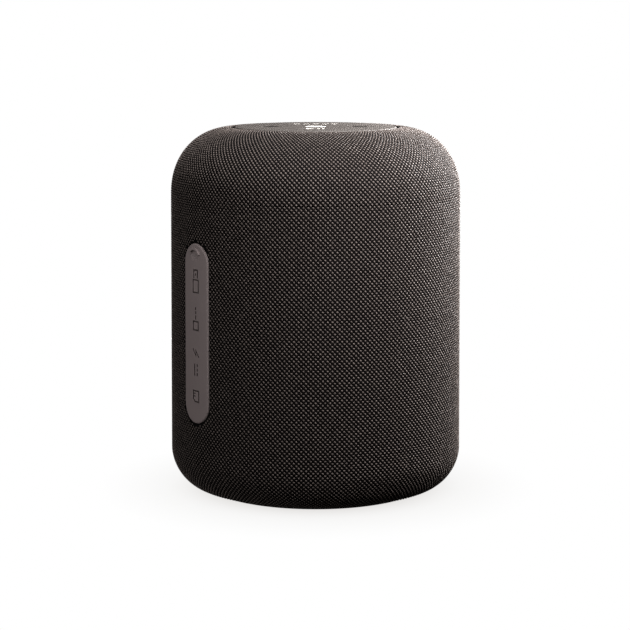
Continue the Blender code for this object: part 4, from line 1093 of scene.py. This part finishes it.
BACK_FACE = COVER_R - COVER_PLATE
usb_low, usb_high = port_box("usb_socket")
charge_low, charge_high = port_box("charge_socket")
jack_low, jack_high = port_box("aux_jack")
usb_wide, usb_tall = usb_high[1] - usb_low[1], usb_high[2] - usb_low[2]
usb_mid = [(usb_low[i] + usb_high[i]) / 2 for i in range(3)]
charge_mid = [(charge_low[i] + charge_high[i]) / 2 for i in range(3)]
jack_mid = [(jack_low[i] + jack_high[i]) / 2 for i in range(3)]
PLUG_ROOT, PLUG_EDGE = BACK_FACE + 0.4 * MM, 0.3 * MM
usb_plug = rounded_box(
    "usb_plug", (BACK_FACE - 2.6 * MM, usb_mid[1] - usb_wide * 0.38, usb_mid[2] - usb_tall * 0.40),
    (PLUG_ROOT, usb_mid[1] - usb_wide * 0.12, usb_mid[2] + usb_tall * 0.40), PLUG_EDGE)
CHARGE_HALF_WIDE, CHARGE_HALF_TALL = 0.6 * MM, 2.7 * MM
charge_plug = rounded_box(
    "charge_plug",
    (BACK_FACE - 1.7 * MM, charge_mid[1] - CHARGE_HALF_WIDE, charge_mid[2] - CHARGE_HALF_TALL),
    (PLUG_ROOT, charge_mid[1] + CHARGE_HALF_WIDE, charge_mid[2] + CHARGE_HALF_TALL), PLUG_EDGE)
PIN_LONG, PIN_TIP_R, PIN_R = 2.6 * MM, 1.25 * MM, 1.5 * MM
pin_line = rounded_line([(0, PIN_LONG), (PIN_TIP_R, PIN_LONG), (PIN_R, 0), (0, 0)],
                        [None, 0.4 * MM, None, None])
pin = mend(turned("jack_plug", pin_line, 32), sharp=60)
pin.data.transform(Matrix.Translation(OUT * PLUG_ROOT + SIDE * jack_mid[1] + UP * jack_mid[2])
                   @ (-OUT).to_track_quat("Z", "Y").to_matrix().to_4x4())
RIB_HEIGHTS, RIB_HALF_WIDE, RIB_HALF_TALL = (57.0 * MM, 43.2 * MM), 3.6 * MM, 0.3 * MM
ribs = [rounded_box(f"rib_{i}", (BACK_FACE - 0.25 * MM, -RIB_HALF_WIDE, z - RIB_HALF_TALL),
                    (BACK_FACE + 0.3 * MM, RIB_HALF_WIDE, z + RIB_HALF_TALL), 0.1 * MM)
        for i, z in enumerate(RIB_HEIGHTS)]
for piece in [usb_plug, charge_plug, pin, *ribs]:
    piece.data.materials.clear()
    piece.data.materials.append(COVER.material)
cover_finishes = list(cover.data.materials)
whole = joined("cover_rubber", [cover, lip, usb_plug, charge_plug, pin, *ribs])
for material in cover_finishes:
    whole.data.materials.append(material)
whole.data.set_sharp_from_angle(angle=math.radians(40))
finished(whole, None, "port_cover", ["port_cover"])

# The strap that holds the cover: its root sits in the port frame, its end in the cover's back
strap_low, strap_high = port_box("cover_strap")
STRAP_Z, STRAP_THICK = (strap_low[2] + strap_high[2]) / 2, 1.0 * MM
strap_steps = np.linspace(strap_low[0], COVER_R - 0.7 * MM, 24)
loops = []
for x in strap_steps:
    wide = (strap_high[1] - strap_low[1]) / 2 * (1.0 if x < strap_high[0] - 1.0 * MM else 0.86)
    ring = stadium(STRAP_THICK, 2 * wide, 6)
    loops += [OUT * x + SIDE * v + UP * (STRAP_Z + u) for u, v in ring]
count = len(stadium(1, 3, 6))
faces = [(i * count + k, i * count + (k + 1) % count, (i + 1) * count + (k + 1) % count, (i + 1) * count + k)
         for i in range(len(strap_steps) - 1) for k in range(count)]
faces += [tuple(range(count))[::-1], tuple(range(len(loops) - count, len(loops)))]
strap = finished(mend(from_points("cover_tether", loops, faces), sharp=60), COVER, None,
                 ["cover_strap"])
tuple(OUT * (strap_high[0] - 1.4 * MM) + UP * STRAP_Z)
tuple(OUT * (BACK_FACE + 0.2 * MM) + UP * STRAP_Z)
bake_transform(strap)


# ---------------------------------------------------------------- underside

# The base disc's underside, from its rim inwards: a groove round it, and a ring round its middle
GROOVE_OUTER_R, GROOVE_INNER_R, GROOVE_DEEP = foot_high.x + 0.25 * MM, 33.6 * MM, 0.3 * MM
RING_OUTER_R, RING_INNER_R, RING_DEEP = 12 * MM, 11 * MM, 0.25 * MM
groove_z, ring_z = base_low.z + GROOVE_DEEP, base_low.z + RING_DEEP
base_line = rounded_line(
    [(0, base_high.z), (BASE_R, base_high.z), (BASE_R, base_low.z),
     (GROOVE_OUTER_R, base_low.z), (GROOVE_OUTER_R, groove_z), (GROOVE_INNER_R, groove_z),
     (GROOVE_INNER_R, base_low.z), (RING_OUTER_R, base_low.z), (RING_OUTER_R, ring_z), (RING_INNER_R, ring_z),
     (RING_INNER_R, base_low.z), (0, base_low.z)],
    [None, 0.3 * MM, 0.3 * MM] + [0.08 * MM] * 8 + [None], 3)
base = flattened(mend(turned("base", base_line)))
screw_places, openings = [], []
for i in range(1, 5):
    low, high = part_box(f"base_screw_{i}")
    centre = (low + high) / 2
    screw_places.append((centre.x, centre.y, low.z))
    openings.append(key_opening(Vector((centre.x, centre.y, base_high.z)), (high.x - low.x) / 2 + 0.3 * MM))
base = cut(base, joined("screw_openings", openings))
base.name = "base_disc"
finished(mend(base, sharp=35), SHELL, "housing", ["base_plate"])


def screw_recipe():
    """Puts one screw, made as its own mesh, on each point."""
    recipe = Recipe("screws", {"Screw": "NodeSocketObject", "Plating": "NodeSocketMaterial"})
    screw = recipe.node("GeometryNodeObjectInfo", values={"Object": recipe.given("Screw")}, out="Geometry")
    placed = recipe.node("GeometryNodeInstanceOnPoints",
                         values={"Points": recipe.given("Geometry"), "Instance": screw})
    recipe.end(placed, recipe.given("Plating"))
    return recipe


HEAD_TALL, SHANK_R, CROSS_DEEP = 1.0 * MM, 1.25 * MM, 0.6 * MM
screw_low, screw_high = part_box("base_screw_1")
head_r, screw_long = (screw_high.x - screw_low.x) / 2, screw_high.z - screw_low.z
screw_line = rounded_line(
    [(0, 0), (head_r, 0), (head_r, HEAD_TALL), (SHANK_R, HEAD_TALL), (SHANK_R, screw_long - SHANK_R),
     (0, screw_long)],
    [None, 0.35 * MM, 0.1 * MM, 0.1 * MM, None, None], 4)
screw = flattened(mend(turned("screw", screw_line, 40)))
recess = prism("recess", cross(head_r * 0.62, 0.4 * MM), -1 * MM, CROSS_DEEP)
screw = mend(cut(screw, recess), sharp=35)
points = from_points("base_screws", screw_places, [])
screws = screw_recipe().carry_out(points, {"Screw": screw, "Plating": DARK_STEEL.material})
bpy.data.objects.remove(screw)
finished(screws, None, "housing", [f"base_screw_{i}" for i in range(1, 5)])
foot_inner = 34.0 * MM
foot_line = rounded_line([(foot_high.x, foot_high.z), (foot_high.x, foot_low.z), (foot_inner, foot_low.z),
                          (foot_inner, foot_high.z)], [0.1 * MM, 0.4 * MM, 0.4 * MM, 0.1 * MM], 4)
foot = mend(turned("foot_rubber", foot_line), sharp=40)
finished(foot, FOOT, "housing", ["foot_ring"])


# ---------------------------------------------------------------- floor, light and camera

CAMERA_DISTANCE = 0.6986
CAMERA_HEIGHT = TOP_Z + 0.040
CAMERA_PITCH = 0.1502
CAMERA_SIDE = -0.0002

camera = bpy.data.cameras.new("camera")
camera.sensor_width = 36
camera.lens = 115.56
camera.clip_start, camera.clip_end = 0.01, 50
viewer = bpy.data.objects.new("camera", camera)
viewer.location = (CAMERA_SIDE, -CAMERA_DISTANCE, CAMERA_HEIGHT)
viewer.rotation_euler = (math.pi / 2 - CAMERA_PITCH, 0, 0)
bpy.context.scene.collection.objects.link(viewer)
bpy.context.scene.camera = viewer

floor = from_points("floor", [(-4, -4, 0), (4, -4, 0), (4, 4, 0), (-4, 4, 0)], [(0, 1, 2, 3)], smooth=False)
floor_finish = Finish("floor_white")
# The floor shines its own even white, which only the camera sees. Ambient occlusion paints it darker near the
# speaker: a painted contact shadow.
painted_contact_shadow = floor_finish.node("ShaderNodeAmbientOcclusion", {"samples": 16}, {"Distance": 0.03}, out="AO")
glow = floor_finish.node("ShaderNodeEmission", values={
    "Color": floor_finish.mix(painted_contact_shadow ** 0.6, tone(226, 224, 222), (1, 1, 1, 1)), "Strength": 1.0,
})
floor_finish.tree.links.new(glow.socket, floor_finish.tree.nodes["Material Output"].inputs["Surface"])
floor.data.materials.append(floor_finish.material)
floor.visible_diffuse = floor.visible_glossy = False

world = bpy.data.worlds.new("studio")
bpy.context.scene.world = world
world.use_nodes = True
sky = world.node_tree
background = sky.nodes["Background"]
seen = sky.nodes.new("ShaderNodeBackground")
seen.inputs["Color"].default_value = (1, 1, 1, 1)
seen.inputs["Strength"].default_value = 1.0
background.inputs["Color"].default_value = (1, 0.98, 0.96, 1)
background.inputs["Strength"].default_value = 0.05
path = sky.nodes.new("ShaderNodeLightPath")
blend = sky.nodes.new("ShaderNodeMixShader")
sky.links.new(path.outputs["Is Camera Ray"], blend.inputs[0])
sky.links.new(background.outputs[0], blend.inputs[1])
sky.links.new(seen.outputs[0], blend.inputs[2])
sky.links.new(blend.outputs[0], sky.nodes["World Output"].inputs["Surface"])

# Each soft box: azimuth and height in degrees as seen from the speaker (0 is the front, 90 its right), how
# far away it stands, its width and height, and its power in watts
SOFT_BOXES = {
    "right_top_key": (90, 75, 0.9, 0.3, 0.3, 10.8),
    "left_fill": (-60, 15, 1.2, 0.5, 0.9, 4.8),
    "back_fill": (175, 0, 0.9, 0.9, 0.11, 5.0),
}
# Each small lamp near the upper edge: its place, the side of its square and its power in watts
SMALL_LAMPS = {
    "edge_right": (0.12, 0.04, 0.15, 0.06, 0.85),
    "edge_front": (0.08, -0.12, 0.155, 0.08, 0.26),
    "edge_low": (0.17, 0.0, 0.13, 0.06, 0.17),
    "edge_high": (0.07, -0.06, 0.22, 0.06, 0.14),
    "edge_middle": (0.0, -0.14, 0.165, 0.08, 0.06),
}
MIDDLE = Vector((0, 0, TOP_Z / 2))
UPPER_RIGHT = Vector((0.025, -0.02, 0.105))


def soft_light(title, place, target, wide, tall, power):
    """A rectangular lamp that faces a target and isn't seen itself."""
    light = bpy.data.lights.new(title, "AREA")
    light.shape = "RECTANGLE"
    light.size, light.size_y = wide, tall
    light.energy = power
    lamp = bpy.data.objects.new(title, light)
    lamp.location = place
    lamp.rotation_euler = (place - target).to_track_quat("Z", "Y").to_euler()
    lamp.visible_camera = False
    bpy.context.scene.collection.objects.link(lamp)


for title, (azimuth, height, away, wide, tall, power) in SOFT_BOXES.items():
    a, h = math.radians(azimuth - 90), math.radians(height)
    towards = Vector((math.cos(a) * math.cos(h), math.sin(a) * math.cos(h), math.sin(h)))
    soft_light(title, MIDDLE + towards * away, MIDDLE, wide, tall, power)
for title, (x, y, z, side, power) in SMALL_LAMPS.items():
    soft_light(title, Vector((x, y, z)), UPPER_RIGHT, side, side, power)
bpy.context.scene.view_settings.view_transform = "Standard"
